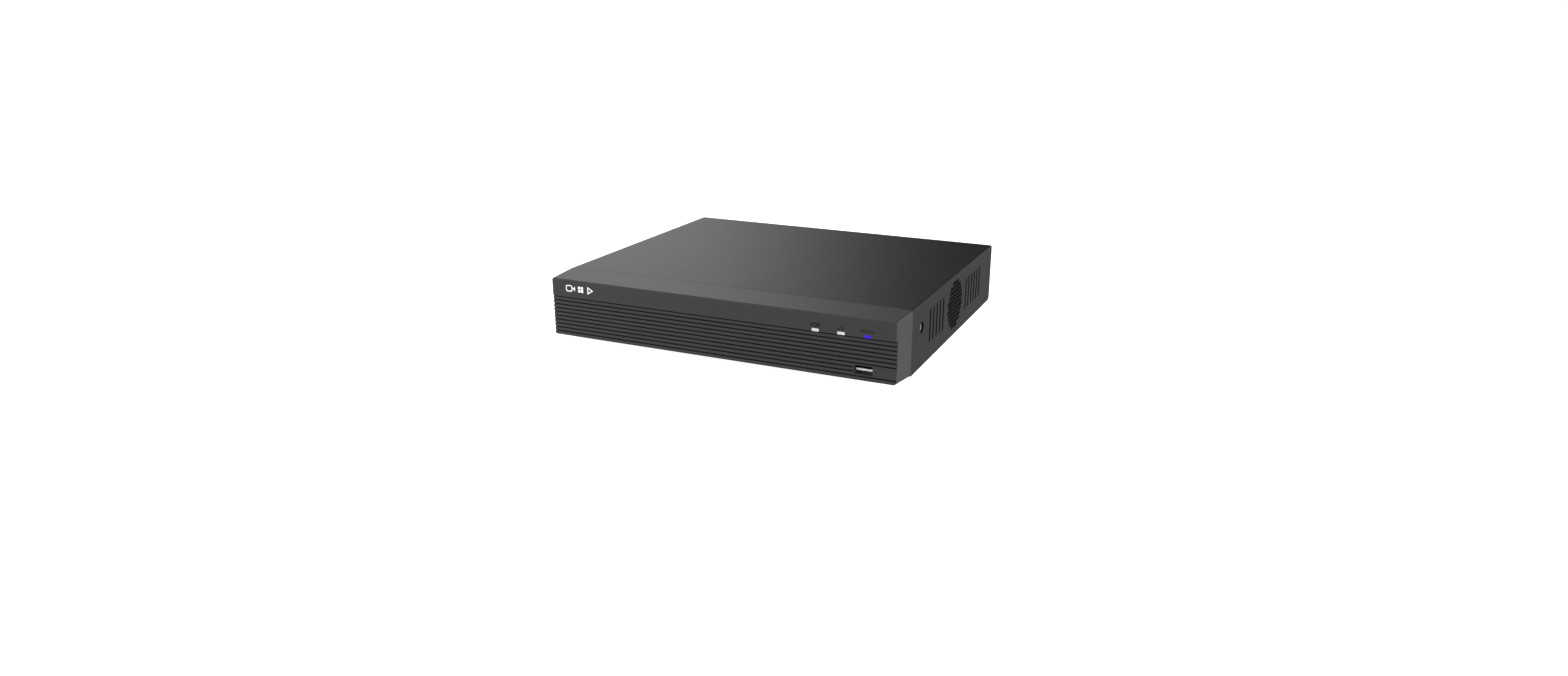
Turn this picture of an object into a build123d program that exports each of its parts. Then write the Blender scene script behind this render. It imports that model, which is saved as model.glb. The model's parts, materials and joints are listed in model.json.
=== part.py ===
from build123d import *

import math
import os

# Compact 1U security video recorder, made as the separate pieces that it comes apart into.
# Millimetres, +Z up, front towards -Y. The origin is under the middle of the whole object,
# at the height of the undersides of its feet.

# ---------------------------------------------------------------- driving dimensions
WIDTH = 260.0  # over the cover's sides
BODY_HEIGHT = 44.3  # from the cover's lower edge to its top
FOOT_HEIGHT = 3.3
COVER_DEPTH = 201.8
BEZEL_DEPTH = 25.2
JACK_REACH = 10.9  # camera jacks past the cover's rear edge
SHEET = 1.0  # steel sheet of tray and cover
FIT = 0.15  # gap between the sliding cover and the tray

DEPTH = COVER_DEPTH + BEZEL_DEPTH + JACK_REACH
FRONT_Y = -DEPTH / 2
SEAM_Y = FRONT_Y + BEZEL_DEPTH
BACK_Y = SEAM_Y + COVER_DEPTH
BASE_Z = FOOT_HEIGHT
TOP_Z = BASE_Z + BODY_HEIGHT
HALF_WIDTH = WIDTH / 2

# Cover
BEND_RADIUS = 1.5
REAR_CORNER = 3.0
LIP_DROP = 9.0
LIP_END_GAP = 2.0
TONGUE_HALF = 108.0
TONGUE_OUT = 3.0
TONGUE_IN = 8.0
SLOT_LENGTH = 24.0
SLOT_WIDTH = 2.8
SLOT_PITCH = 7.65
SLOT_Z = BASE_Z + 23.5
FRONT_SLOT_Y = SEAM_Y + 39.1
REAR_SLOT_Y = SEAM_Y + 127.7
ACCESS_RADIUS = 4.0
SIDE_SCREW_Y = SEAM_Y + 20.3
SIDE_SCREW_Z = BASE_Z + 27.6
COVER_SCREW_X = (-112.0, 0.0, 112.0)
COVER_SCREW_Z = TOP_Z - 4.9

# Tray
TRAY_HALF = HALF_WIDTH - SHEET - FIT
FLOOR_Z = BASE_Z + SHEET
FLANGE_HEIGHT = 10.0
WALL_BACK_Y = BACK_Y - SHEET - FIT
WALL_FRONT_Y = WALL_BACK_Y - SHEET
FRONT_WALL_HALF = 124.0
FRONT_WALL_TOP = TOP_Z - 3.0
EAR_INNER_X = 125.6  # the bezel's ears lie against the tray's tabs here
TAB_DEPTH = 28.0

# Bezel
FACE_WIDTH = 256.2
FACE_LOW = 1.9  # lower edge of the face above the cover's lower edge
FACE_HIGH = 43.3
FACE_WALL = 3.0
BEZEL_WALL = 2.2
BEZEL_CORNER = 1.5
BAND_LOW = BASE_Z + 30.5  # the smooth band stands proud above this height
BAND_STEP = 0.65
GROOVE_COUNT = 10
GROOVE_TOP = BASE_Z + 30.1
GROOVE_PITCH = 2.84
GROOVE_WIDTH = 0.9
GROOVE_DEPTH = 0.9
PATCH_X = 99.6  # plain patch beside the USB socket, up to the right end
PATCH_LOW = BASE_Z + 5.3
PATCH_HIGH = BASE_Z + 12.2
LIP_HALF = 122.0
LIP_OUT = 2.75
LIP_THICK = 0.9
EAR_THICK = 2.8
SCREW_SEAT = 1.4  # how far out the bezel screws' heads sit on the ears
EAR_HALF = 8.0
PEG_X = (-60.0, 45.0)
PEG_Z = BASE_Z + 20.0
PEG_RADIUS = 2.0

# Front panel parts
LIGHT_X = (73.5, 91.15, 108.8)
LIGHT_NAMES = ("status", "network", "power")
LIGHT_Z = BASE_Z + 31.5
LIGHT_WIDTH = 5.0
LIGHT_HEIGHT = 2.0
USB_X = 106.5
USB_Z = BASE_Z + 8.85
USB_WIDTH = 12.4
USB_HEIGHT = 5.7
USB_WALL = 0.35
PANEL_Y = FRONT_Y + 17.0
BOARD_THICK = 1.6
PANEL_X0 = 61.0
PANEL_X1 = 122.0
PANEL_LOW = BASE_Z + 4.5
PANEL_HIGH = BASE_Z + 39.0
PANEL_SCREWS = ((65.5, BASE_Z + 9.5), (65.5, BASE_Z + 34.5), (118.0, BASE_Z + 22.0))

# Fasteners
THREAD_RADIUS = 1.5
HEAD_RADIUS = 2.8
HEAD_HEIGHT = 2.0

# Main board
STANDOFF_HEIGHT = 5.0
BOARD_HALF = 118.0
BOARD_FRONT_Y = 28.0
BOARD_BACK_Y = WALL_FRONT_Y - 2.0
BOARD_Z = FLOOR_Z + STANDOFF_HEIGHT
BOARD_TOP = BOARD_Z + BOARD_THICK
BOARD_SCREWS = ((-113, 33), (0, 33), (113, 48), (-113, 98), (-17, 80), (113, 98))
CHIP_X = -12.0
CHIP_Y = 58.0
CHIP_TOP = BOARD_TOP + 2.2
SINK_SIZE = 34.0
BUTTON_X = 24.0
BUTTON_Y = 38.0
CELL_X = -66.0
CELL_Y = 56.0
SOCKET_X = {"data": 46.0, "power": 66.0, "panel": 86.0, "fan": 102.0}
SOCKET_WIDTH = {"data": 14.0, "power": 16.0, "panel": 12.0, "fan": 8.0}
PLUG_LENGTH = 12.0
PLUG_HEIGHT = 6.0

# Rear connectors
JACK_X0 = -100.0
JACK_PITCH = 16.0
JACK_ROWS = (BOARD_TOP + 6.6, BOARD_TOP + 21.1)
JACK_RADIUS = 4.85
JACK_BORE = 4.05
JACK_TIP_Y = BACK_Y + JACK_REACH
AUDIO_X = -31.0
AUDIO_ROWS = (BOARD_TOP + 7.6, BOARD_TOP + 20.4)
AUDIO_RADIUS = 4.15
AUDIO_ROOT_RADIUS = 3.9
AUDIO_WALL = 0.5
AUDIO_REACH = 9.0
HDMI_X = -8.0
HDMI_Z = BOARD_TOP + 3.6
VGA_X = 18.0
VGA_Z = BOARD_TOP + 6.9
VGA_SCREW_SPACING = 25.0
LAN_X = 46.0
LAN_WIDTH = 16.0
LAN_HEIGHT = 13.5
REAR_USB_X = 64.5
REAR_USB_Z = BOARD_TOP + 4.2
TERMINAL_X = 82.5
TERMINAL_WAYS = 4
TERMINAL_PITCH = 3.5
POWER_X = 100.0
POWER_Z = BOARD_TOP + 6.0
POWER_BORE = 3.15
POWER_DEPTH = 9.5
EARTH_X = 119.0
EARTH_Z = BASE_Z + 26.0

# Hard disk, 3.5 inch
DISK_LENGTH = 147.0
DISK_WIDTH = 101.6
DISK_CASE_HEIGHT = 24.6
DISK_LID = 1.5
DISK_X0 = -120.0
DISK_X1 = DISK_X0 + DISK_LENGTH
DISK_Y0 = SEAM_Y + 5.75
DISK_Y1 = DISK_Y0 + DISK_WIDTH
DISK_Z = FLOOR_Z + 2.5
SPINDLE_X = DISK_X0 + 52.0
SPINDLE_Y = (DISK_Y0 + DISK_Y1) / 2
PLATTER_RADIUS = 47.5
PLATTER_THICK = 1.27
PLATTER_HEIGHTS = (10.0, 15.5)
PIVOT_X = SPINDLE_X + 48.0
PIVOT_Y = SPINDLE_Y + 23.2
ARM_LENGTH = 47.0
ARM_PARK_ANGLE = 260.8
ARM_HEIGHTS = (8.6, 12.9, 18.0)
DISK_SCREW_X = (DISK_X1 - 41.28, DISK_X1 - 85.73)
DISK_SCREW_INSET = 3.18
DATA_PLUG_Y = SPINDLE_Y + 13.0
POWER_PLUG_Y = SPINDLE_Y - 14.0

# Fan
FAN_SIZE = 40.0
FAN_DEPTH = 10.0
FAN_X = 114.4  # inner face
FAN_Y = SEAM_Y + 99.1
FAN_Z = BASE_Z + 23.0
FAN_SCREW_PITCH = 32.0
FAN_BORE = 19.1
GRILLE_RADIUS = 18.6
GRILLE_CELL = 3.25  # across the flats of each six-sided hole
GRILLE_PITCH = 3.7


# ---------------------------------------------------------------- building blocks
def block(x0, x1, y0, y1, z0, z1):
    """Rectangular block between two corners."""
    centre = Pos((x0 + x1) / 2, (y0 + y1) / 2, (z0 + z1) / 2)
    return centre * Box(x1 - x0, y1 - y0, z1 - z0)


def rod_x(radius, x0, x1, y, z):
    return Pos((x0 + x1) / 2, y, z) * Rot(0, 90, 0) * Cylinder(radius, x1 - x0)


def rod_y(radius, x, y0, y1, z):
    return Pos(x, (y0 + y1) / 2, z) * Rot(90, 0, 0) * Cylinder(radius, y1 - y0)


def rod_z(radius, x, y, z0, z1):
    return Pos(x, y, (z0 + z1) / 2) * Cylinder(radius, z1 - z0)


def facing_front(x, y, z):
    """Drawing plane upright across the object, its normal towards the front."""
    return Plane(origin=(x, y, z), x_dir=(1, 0, 0), z_dir=(0, -1, 0))


def group(solids):
    """Several separate solids kept as one node."""
    return Compound(children=[solid for part in solids for solid in part.solids()])


def pan_screw(length, radius=THREAD_RADIUS, head=HEAD_RADIUS):
    """Cross-recess screw with the underside of its head at the origin and its shank down -Z."""
    cap = Pos(0, 0, HEAD_HEIGHT / 2) * Cylinder(head, HEAD_HEIGHT)
    cap = fillet(cap.edges().group_by(Axis.Z)[-1], 0.8)
    shank = Pos(0, 0, -length / 2) * Cylinder(radius, length)
    shank = chamfer(shank.edges().group_by(Axis.Z)[0], 0.4)
    recess = Box(head * 1.1, 0.7, 2.4) + Box(0.7, head * 1.1, 2.4)
    return cap + shank - Pos(0, 0, HEAD_HEIGHT) * recess


def hex_post(across_flats, height):
    """Hexagonal post standing on the origin."""
    return extrude(RegularPolygon(across_flats / 2, 6, major_radius=False), amount=height)


def path_of(points):
    """Straight runs joined by tangent arcs, each as large as its two runs allow."""
    corners = [Vector(*point) for point in points]
    radii = []
    for before, corner, after in zip(corners, corners[1:], corners[2:]):
        arriving = corner - before
        leaving = after - corner
        half_turn = math.radians(arriving.get_angle(leaving)) / 2
        radii.append(0.45 * min(arriving.length, leaving.length) / math.tan(half_turn))
    print("bend radii", [round(radius, 1) for radius in radii])
    return FilletPolyline(*corners, radius=radii)


def swept(points, section):
    """The section drawn along the route, its own x axis upright at the start."""
    path = path_of(points)
    start = Plane(origin=path @ 0, x_dir=(0, 0, 1), z_dir=path % 0)
    return sweep(start * section, path=path)


# ---------------------------------------------------------------- enclosure
def side_slots():
    """Upright vent slots, each tool passing through both sides of the cover."""
    centres = [FRONT_SLOT_Y + SLOT_PITCH * i for i in range(5)]
    centres += [REAR_SLOT_Y + SLOT_PITCH * i for i in range(6)]
    tools = []
    for y in centres:
        plane = Plane(origin=(-WIDTH, y, SLOT_Z), x_dir=(0, 0, 1), z_dir=(1, 0, 0))
        tools.append(extrude(plane * SlotOverall(SLOT_LENGTH, SLOT_WIDTH), amount=2 * WIDTH))
    return tools


def grille_holes():
    """Honeycomb of six-sided holes inside a circle, through the right side only."""
    cell = Rot(0, 90, 0) * hex_post(GRILLE_CELL, 3.0)
    rows = int(GRILLE_RADIUS / (GRILLE_PITCH * math.sqrt(3) / 2))
    tools = []
    for row in range(-rows, rows + 1):
        for column in range(-rows - 1, rows + 2):
            across = (column + (row % 2) / 2) * GRILLE_PITCH
            up = row * GRILLE_PITCH * math.sqrt(3) / 2
            if math.hypot(across, up) <= GRILLE_RADIUS - GRILLE_CELL / 2:
                tools.append(Pos(HALF_WIDTH - 2, FAN_Y + across, FAN_Z + up) * cell)
    return tools


def top_cover():
    """Folded sheet: top and both sides, a rear lip, and a tongue that tucks under the bezel."""
    outer = block(-HALF_WIDTH, HALF_WIDTH, SEAM_Y + 0.1, BACK_Y, BASE_Z, TOP_Z)
    outer = fillet(outer.edges().filter_by(Axis.Y).group_by(Axis.Z)[-1], BEND_RADIUS)
    rear_bottom = outer.edges().filter_by(Axis.X).group_by(Axis.Z)[0].sort_by(Axis.Y)[-1]
    outer = fillet(rear_bottom, REAR_CORNER)
    inner_half = HALF_WIDTH - SHEET
    inner = block(-inner_half, inner_half, SEAM_Y - 1, BACK_Y + 1, BASE_Z - 1, TOP_Z - SHEET)
    inner = fillet(inner.edges().filter_by(Axis.Y).group_by(Axis.Z)[-1], BEND_RADIUS - SHEET)
    shell = outer - inner
    lip_half = inner_half - LIP_END_GAP
    shell += block(-lip_half, lip_half, BACK_Y - SHEET, BACK_Y, TOP_Z - LIP_DROP, TOP_Z - SHEET)
    notch = LIP_HALF + FIT
    shell -= block(-notch, notch, SEAM_Y - 1, SEAM_Y + LIP_OUT + FIT, TOP_Z - 2 * SHEET, TOP_Z + 1)
    shell += block(
        -TONGUE_HALF, TONGUE_HALF, SEAM_Y - TONGUE_OUT, SEAM_Y + TONGUE_IN, TOP_Z - 2 * SHEET, TOP_Z - SHEET
    )
    shell -= side_slots() + grille_holes()
    shell -= rod_x(ACCESS_RADIUS, -WIDTH, WIDTH, SIDE_SCREW_Y, SIDE_SCREW_Z)
    shell -= [rod_y(THREAD_RADIUS, x, BACK_Y - 3, BACK_Y + 1, COVER_SCREW_Z) for x in COVER_SCREW_X]
    return shell


def jack_places():
    """Centres of the eight camera jacks, in two rows."""
    return [(JACK_X0 + JACK_PITCH * column, z) for column in range(4) for z in JACK_ROWS]


def rear_cutouts():
    """Tools for the connector openings in the tray's rear wall."""
    front = WALL_FRONT_Y - 1
    back = WALL_BACK_Y + 1
    tools = [rod_y(JACK_RADIUS + 0.2, x, front, back, z) for x, z in jack_places()]
    tools += [rod_y(AUDIO_RADIUS + 0.3, AUDIO_X, front, back, z) for z in AUDIO_ROWS]
    tools += [rod_y(THREAD_RADIUS + 0.1, x, front, back, COVER_SCREW_Z) for x in COVER_SCREW_X]
    tools.append(rod_y(2.0, EARTH_X, front, back, EARTH_Z))
    tools.append(block(HDMI_X - 7.7, HDMI_X + 7.7, front, back, HDMI_Z - 3.0, HDMI_Z + 3.0))
    tools.append(block(VGA_X - 8.8, VGA_X + 8.8, front, back, VGA_Z - 4.6, VGA_Z + 4.6))
    for side in (-1, 1):
        tools.append(rod_y(1.7, VGA_X + side * VGA_SCREW_SPACING / 2, front, back, VGA_Z))
    half = LAN_WIDTH / 2 + 0.2
    tools.append(block(LAN_X - half, LAN_X + half, front, back, BOARD_TOP, BOARD_TOP + LAN_HEIGHT + 0.2))
    tools.append(block(REAR_USB_X - 6.8, REAR_USB_X + 6.8, front, back, REAR_USB_Z - 3.5, REAR_USB_Z + 3.5))
    half = TERMINAL_WAYS * TERMINAL_PITCH / 2 + 0.4
    tools.append(block(TERMINAL_X - half, TERMINAL_X + half, front, back, BOARD_TOP, BOARD_TOP + 8.7))
    tools.append(block(POWER_X - 4.7, POWER_X + 4.7, front, back, BOARD_TOP, BOARD_TOP + 11.2))
    return tools


def disk_screw_places():
    """Underside screw positions of the hard disk."""
    rows = (DISK_Y0 + DISK_SCREW_INSET, DISK_Y1 - DISK_SCREW_INSET)
    return [(x, y) for x in DISK_SCREW_X for y in rows]


def base_tray():
    """Folded sheet: floor, low side flanges, rear connector wall, front wall and side tabs."""
    tray = block(-TRAY_HALF, TRAY_HALF, SEAM_Y, WALL_BACK_Y, BASE_Z, FLOOR_Z)
    for side in (-1, 1):
        inner, outer = sorted((side * (TRAY_HALF - SHEET), side * TRAY_HALF))
        tray += block(inner, outer, SEAM_Y + 1, WALL_BACK_Y, BASE_Z, BASE_Z + FLANGE_HEIGHT)
        inner, outer = sorted((side * (EAR_INNER_X - SHEET), side * EAR_INNER_X))
        tray += block(inner, outer, SEAM_Y, SEAM_Y + TAB_DEPTH, BASE_Z, BASE_Z + 38)
    wall_half = TRAY_HALF - 0.4
    tray += block(-wall_half, wall_half, WALL_FRONT_Y, WALL_BACK_Y, BASE_Z, TOP_Z - SHEET - FIT)
    tray += block(-FRONT_WALL_HALF, FRONT_WALL_HALF, SEAM_Y, SEAM_Y + SHEET, BASE_Z, FRONT_WALL_TOP)
    tray += block(-EAR_INNER_X, EAR_INNER_X, SEAM_Y, SEAM_Y + SHEET, BASE_Z, BASE_Z + 38)
    tray += [rod_z(6.0, x, y, FLOOR_Z, DISK_Z) for x, y in disk_screw_places()]
    tray -= [rod_z(1.8, x, y, BASE_Z - 1, DISK_Z + 1) for x, y in disk_screw_places()]
    tray -= [rod_y(PEG_RADIUS + 0.1, x, SEAM_Y - 1, SEAM_Y + 2, PEG_Z) for x in PEG_X]
    tray -= rod_y(6.0, PANEL_CABLE[0][0], SEAM_Y - 1, SEAM_Y + 2, PANEL_CABLE[0][2])
    tray -= rod_x(THREAD_RADIUS, -WIDTH, WIDTH, SIDE_SCREW_Y, SIDE_SCREW_Z)
    tray -= rear_cutouts()
    vents = GridLocations(34.0, 9.0, 3, 4).locations
    vent = extrude(SlotOverall(24.0, 3.0), amount=3)
    tray -= [Pos(62, -38, BASE_Z - 1) * place * vent for place in vents]
    return tray


def bezel_section(y, inset):
    """Outline of the tapered bezel at depth y, moved inwards by inset."""
    share = (SEAM_Y - y) / BEZEL_DEPTH
    width = WIDTH - (WIDTH - FACE_WIDTH) * share
    low = FACE_LOW * share
    high = BODY_HEIGHT - (BODY_HEIGHT - FACE_HIGH) * share
    plane = facing_front(0, y, BASE_Z + (low + high) / 2)
    corner = max(BEZEL_CORNER - inset, 0.4)
    return plane * RectangleRounded(width - 2 * inset, high - low - 2 * inset, corner)


def front_bezel():
    """Moulded front with a smooth upper band, a ribbed lower face, ears, pegs and board bosses."""
    shell = loft([bezel_section(SEAM_Y, 0), bezel_section(FRONT_Y, 0)], ruled=True)
    shell = fillet(shell.faces().sort_by(Axis.Y)[0].edges(), 0.7)
    hollow_y = FRONT_Y + FACE_WALL
    shell -= loft([bezel_section(SEAM_Y, BEZEL_WALL), bezel_section(hollow_y, BEZEL_WALL)], ruled=True)
    face_y = FRONT_Y + BAND_STEP
    shell -= block(-HALF_WIDTH, HALF_WIDTH, FRONT_Y - 1, face_y, BASE_Z, BAND_LOW)
    for index in range(GROOVE_COUNT):
        z = GROOVE_TOP - GROOVE_PITCH * index
        right = PATCH_X if PATCH_LOW < z < PATCH_HIGH else HALF_WIDTH
        half = GROOVE_WIDTH / 2
        shell -= block(-HALF_WIDTH, right, FRONT_Y - 1, face_y + GROOVE_DEPTH, z - half, z + half)
    # rear lip over the cover's tongue
    shell += block(-LIP_HALF, LIP_HALF, SEAM_Y - 1, SEAM_Y + LIP_OUT, TOP_Z - LIP_THICK, TOP_Z - 0.05)
    pocket = TONGUE_HALF + 0.5
    shell -= block(-pocket, pocket, SEAM_Y - TONGUE_OUT - 0.3, SEAM_Y + 5, TOP_Z - 3, TOP_Z - LIP_THICK)
    # ears beside the tray's tabs, with countersunk screw seats
    for side in (-1, 1):
        inner, outer = sorted((side * EAR_INNER_X, side * (EAR_INNER_X + EAR_THICK)))
        low = SIDE_SCREW_Z - EAR_HALF
        ear = block(inner, outer, SEAM_Y - 9, SEAM_Y + 27, low, low + 2 * EAR_HALF)
        shell += fillet(ear.edges().filter_by(Axis.X).group_by(Axis.Y)[-1], 3.0)
        seat, outside = sorted((side * (EAR_INNER_X + SCREW_SEAT), side * HALF_WIDTH))
        shell -= rod_x(HEAD_RADIUS + 0.4, seat, outside, SIDE_SCREW_Y, SIDE_SCREW_Z)
    shell -= rod_x(THREAD_RADIUS, -WIDTH, WIDTH, SIDE_SCREW_Y, SIDE_SCREW_Z)
    # locating pegs and front board bosses
    inside = FRONT_Y + FACE_WALL - 0.5
    shell += [rod_y(PEG_RADIUS, x, inside, SEAM_Y + 2.5, PEG_Z) for x in PEG_X]
    shell += [rod_y(3.0, x, inside, PANEL_Y, z) for x, z in PANEL_SCREWS]
    shell -= [rod_y(THREAD_RADIUS, x, inside + 4, PANEL_Y + 1, z) for x, z in PANEL_SCREWS]
    # windows
    half_w = LIGHT_WIDTH / 2
    half_h = LIGHT_HEIGHT / 2
    for x in LIGHT_X:
        shell -= block(x - half_w, x + half_w, FRONT_Y - 1, FRONT_Y + 4, LIGHT_Z - half_h, LIGHT_Z + half_h)
    half_w = USB_WIDTH / 2
    half_h = USB_HEIGHT / 2
    shell -= block(USB_X - half_w, USB_X + half_w, FRONT_Y - 1, FRONT_Y + 4, USB_Z - half_h, USB_Z + half_h)
    return shell


def rubber_feet():
    """Four feet with a moulded hollow underneath."""
    feet = []
    for x in (-108, 108):
        for y in (SEAM_Y + 16, BACK_Y - 16):
            foot = rod_z(8.0, x, y, 0, FOOT_HEIGHT)
            foot = fillet(foot.edges().group_by(Axis.Z)[0], 1.0)
            foot -= rod_z(4.0, x, y, -1, 1.2)
            feet.append(foot)
    return group(feet)


def cover_screws():
    """Screws through the cover's rear lip."""
    screw = pan_screw(6.0)
    return group([Pos(x, BACK_Y, COVER_SCREW_Z) * Rot(-90, 0, 0) * screw for x in COVER_SCREW_X])


def bezel_screws():
    """Screws that hold the bezel's ears to the tray, reached through the cover's side holes."""
    seat = EAR_INNER_X + SCREW_SEAT
    screw = pan_screw(4.0)
    right = Pos(seat, SIDE_SCREW_Y, SIDE_SCREW_Z) * Rot(0, 90, 0) * screw
    left = Pos(-seat, SIDE_SCREW_Y, SIDE_SCREW_Z) * Rot(0, -90, 0) * screw
    return group([left, right])


def ground_screw():
    """Earth screw with its washer on the rear wall."""
    screw = Pos(EARTH_X, WALL_BACK_Y + 0.8, EARTH_Z) * Rot(-90, 0, 0) * pan_screw(6.0, 2.0, 3.6)
    return screw + rod_y(4.4, EARTH_X, WALL_BACK_Y, WALL_BACK_Y + 0.8, EARTH_Z)


# ---------------------------------------------------------------- front panel
def front_panel_board():
    board = block(PANEL_X0, PANEL_X1, PANEL_Y, PANEL_Y + BOARD_THICK, PANEL_LOW, PANEL_HIGH)
    board = fillet(board.edges().filter_by(Axis.Y), 1.5)
    return board - [rod_y(THREAD_RADIUS, x, PANEL_Y - 1, PANEL_Y + 3, z) for x, z in PANEL_SCREWS]


def light_pipe(x):
    """Clear pipe from its window in the face to the LED behind, with a stop flange."""
    half_w = LIGHT_WIDTH / 2 - 0.05
    half_h = LIGHT_HEIGHT / 2 - 0.05
    stop = FRONT_Y + FACE_WALL
    pipe = block(x - half_w, x + half_w, FRONT_Y, stop, LIGHT_Z - half_h, LIGHT_Z + half_h)
    flange_w = half_w + 0.8
    flange_h = half_h + 0.8
    pipe += block(x - flange_w, x + flange_w, stop, stop + 1.2, LIGHT_Z - flange_h, LIGHT_Z + flange_h)
    return pipe + block(x - 1.8, x + 1.8, stop + 1.2, PANEL_Y - 1.6, LIGHT_Z - 0.9, LIGHT_Z + 0.9)


def front_leds():
    """Surface-mounted LEDs with domed tops, one behind each pipe."""
    leds = []
    for x in LIGHT_X:
        led = block(x - 1.6, x + 1.6, PANEL_Y - 0.9, PANEL_Y, LIGHT_Z - 1.4, LIGHT_Z + 1.4)
        leds.append(led + rod_y(1.1, x, PANEL_Y - 1.4, PANEL_Y - 0.9, LIGHT_Z))
    return group(leds)


def usb_shell(x, z, mouth_y, end_y):
    """Folded steel shell of a USB-A socket, its long axis along Y."""
    half_w = USB_WIDTH / 2
    half_h = USB_HEIGHT / 2
    y0, y1 = sorted((mouth_y, end_y))
    outer_w = half_w + USB_WALL
    outer_h = half_h + USB_WALL
    outer = block(x - outer_w, x + outer_w, y0, y1, z - outer_h, z + outer_h)
    outer = fillet(outer.edges().filter_by(Axis.Y), 0.7)
    inner = block(x - half_w, x + half_w, y0, y1, z - half_h, z + half_h)
    return outer - fillet(inner.edges().filter_by(Axis.Y), 0.4)


def usb_tongue(x, z, tip_y, end_y):
    """Insulating block at the socket's end, with the tongue that carries the contacts."""
    towards_mouth = math.copysign(1, tip_y - end_y)
    step_y = end_y + towards_mouth * 5.0
    y0, y1 = sorted((tip_y, step_y))
    tongue = block(x - 5.55, x + 5.55, y0, y1, z - 0.65, z + 0.65)
    y0, y1 = sorted((step_y, end_y))
    return tongue + block(x - 6.1, x + 6.1, y0, y1, z - 2.4, z + 2.4)


# ---------------------------------------------------------------- main board
def main_board():
    board = block(-BOARD_HALF, BOARD_HALF, BOARD_FRONT_Y, BOARD_BACK_Y, BOARD_Z, BOARD_TOP)
    board = fillet(board.edges().filter_by(Axis.Z), 2.0)
    return board - [rod_z(THREAD_RADIUS, x, y, BOARD_Z - 1, BOARD_TOP + 1) for x, y in BOARD_SCREWS]


def board_standoffs():
    """Hexagonal standoffs pressed into the tray floor."""
    post = hex_post(6.0, STANDOFF_HEIGHT) - rod_z(THREAD_RADIUS, 0, 0, -1, STANDOFF_HEIGHT + 1)
    return group([Pos(x, y, FLOOR_Z) * post for x, y in BOARD_SCREWS])


def board_screws():
    """Screws of the main board and of the front panel board."""
    screw = pan_screw(5.5)
    main = [Pos(x, y, BOARD_TOP) * screw for x, y in BOARD_SCREWS]
    panel = [Pos(x, PANEL_Y + BOARD_THICK, z) * Rot(-90, 0, 0) * screw for x, z in PANEL_SCREWS]
    return group(main + panel)


def chip(x, y, width, depth, height):
    """Moulded package with bevelled upper edges, lying on the main board."""
    body = Pos(x, y, BOARD_TOP + height / 2) * Box(width, depth, height)
    return chamfer(body.edges().group_by(Axis.Z)[-1], height * 0.2)


def processor_heatsink():
    """Extruded heatsink: a base with upright fins along Y, and two clipped corners."""
    half = SINK_SIZE / 2
    base = block(CHIP_X - half, CHIP_X + half, CHIP_Y - half, CHIP_Y + half, CHIP_TOP, CHIP_TOP + 3)
    fins = 10
    pitch = (SINK_SIZE - 1.2) / (fins - 1)
    for index in range(fins):
        x = CHIP_X - half + index * pitch
        base += block(x, x + 1.2, CHIP_Y - half, CHIP_Y + half, CHIP_TOP + 3, CHIP_TOP + 13)
    return base


def memory_chips():
    places = GridLocations(14.0, 12.0, 2, 3).locations
    return group([Pos(24, 60, 0) * place * chip(0, 0, 11.0, 8.0, 1.1) for place in places])


def power_inductors():
    """Shielded inductors beside the power input."""
    coils = []
    for x, y in ((58, 52), (58, 64), (58, 76), (-40, 76)):
        coil = chip(x, y, 7.5, 7.5, 4.2)
        coils.append(coil - rod_z(2.2, x, y, BOARD_TOP + 3.9, BOARD_TOP + 5))
    return group(coils)


def filter_capacitors():
    """Upright electrolytic cans with a crimp ring and a vent cross."""
    cans = []
    for x, y in ((74, 58), (86, 58), (74, 72), (86, 72), (98, 66)):
        can = rod_z(4.0, x, y, BOARD_TOP, BOARD_TOP + 11.5)
        can = fillet(can.edges().group_by(Axis.Z)[-1], 0.6)
        can -= rod_z(5.0, x, y, BOARD_TOP + 1.6, BOARD_TOP + 2.4) - rod_z(3.7, x, y, BOARD_TOP, BOARD_TOP + 4)
        cross = Box(6.0, 0.4, 0.4) + Box(0.4, 6.0, 0.4)
        cans.append(can - Pos(x, y, BOARD_TOP + 11.5) * cross)
    return group(cans)


def buzzer():
    can = rod_z(6.0, -92, 48, BOARD_TOP, BOARD_TOP + 8.5)
    can = fillet(can.edges().group_by(Axis.Z)[-1], 0.5)
    return can - rod_z(1.2, -92, 48, BOARD_TOP + 6, BOARD_TOP + 9)


def coin_cell_holder():
    """Round holder, open on top, with a gap in its wall to push the cell out."""
    holder = rod_z(11.6, CELL_X, CELL_Y, BOARD_TOP, BOARD_TOP + 4.6)
    holder -= rod_z(10.1, CELL_X, CELL_Y, BOARD_TOP + 1.2, BOARD_TOP + 6)
    return holder - block(CELL_X - 5, CELL_X + 5, CELL_Y - 14, CELL_Y - 8, BOARD_TOP + 1.2, BOARD_TOP + 6)


def coin_cell():
    """Lithium cell with its stepped can."""
    cell = rod_z(10.0, CELL_X, CELL_Y, BOARD_TOP + 1.7, BOARD_TOP + 4.4)
    cell = fillet(cell.edges().group_by(Axis.Z)[-1], 0.3)
    return cell + rod_z(8.4, CELL_X, CELL_Y, BOARD_TOP + 1.2, BOARD_TOP + 1.7)


def reset_button_case():
    """Tact switch body, hollow under its plunger."""
    case = block(BUTTON_X - 3, BUTTON_X + 3, BUTTON_Y - 3, BUTTON_Y + 3, BOARD_TOP, BOARD_TOP + 3.5)
    case -= rod_z(2.3, BUTTON_X, BUTTON_Y, BOARD_TOP + 1.0, BOARD_TOP + 3.0)
    return case - rod_z(1.8, BUTTON_X, BUTTON_Y, BOARD_TOP + 2.0, BOARD_TOP + 4)


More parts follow.
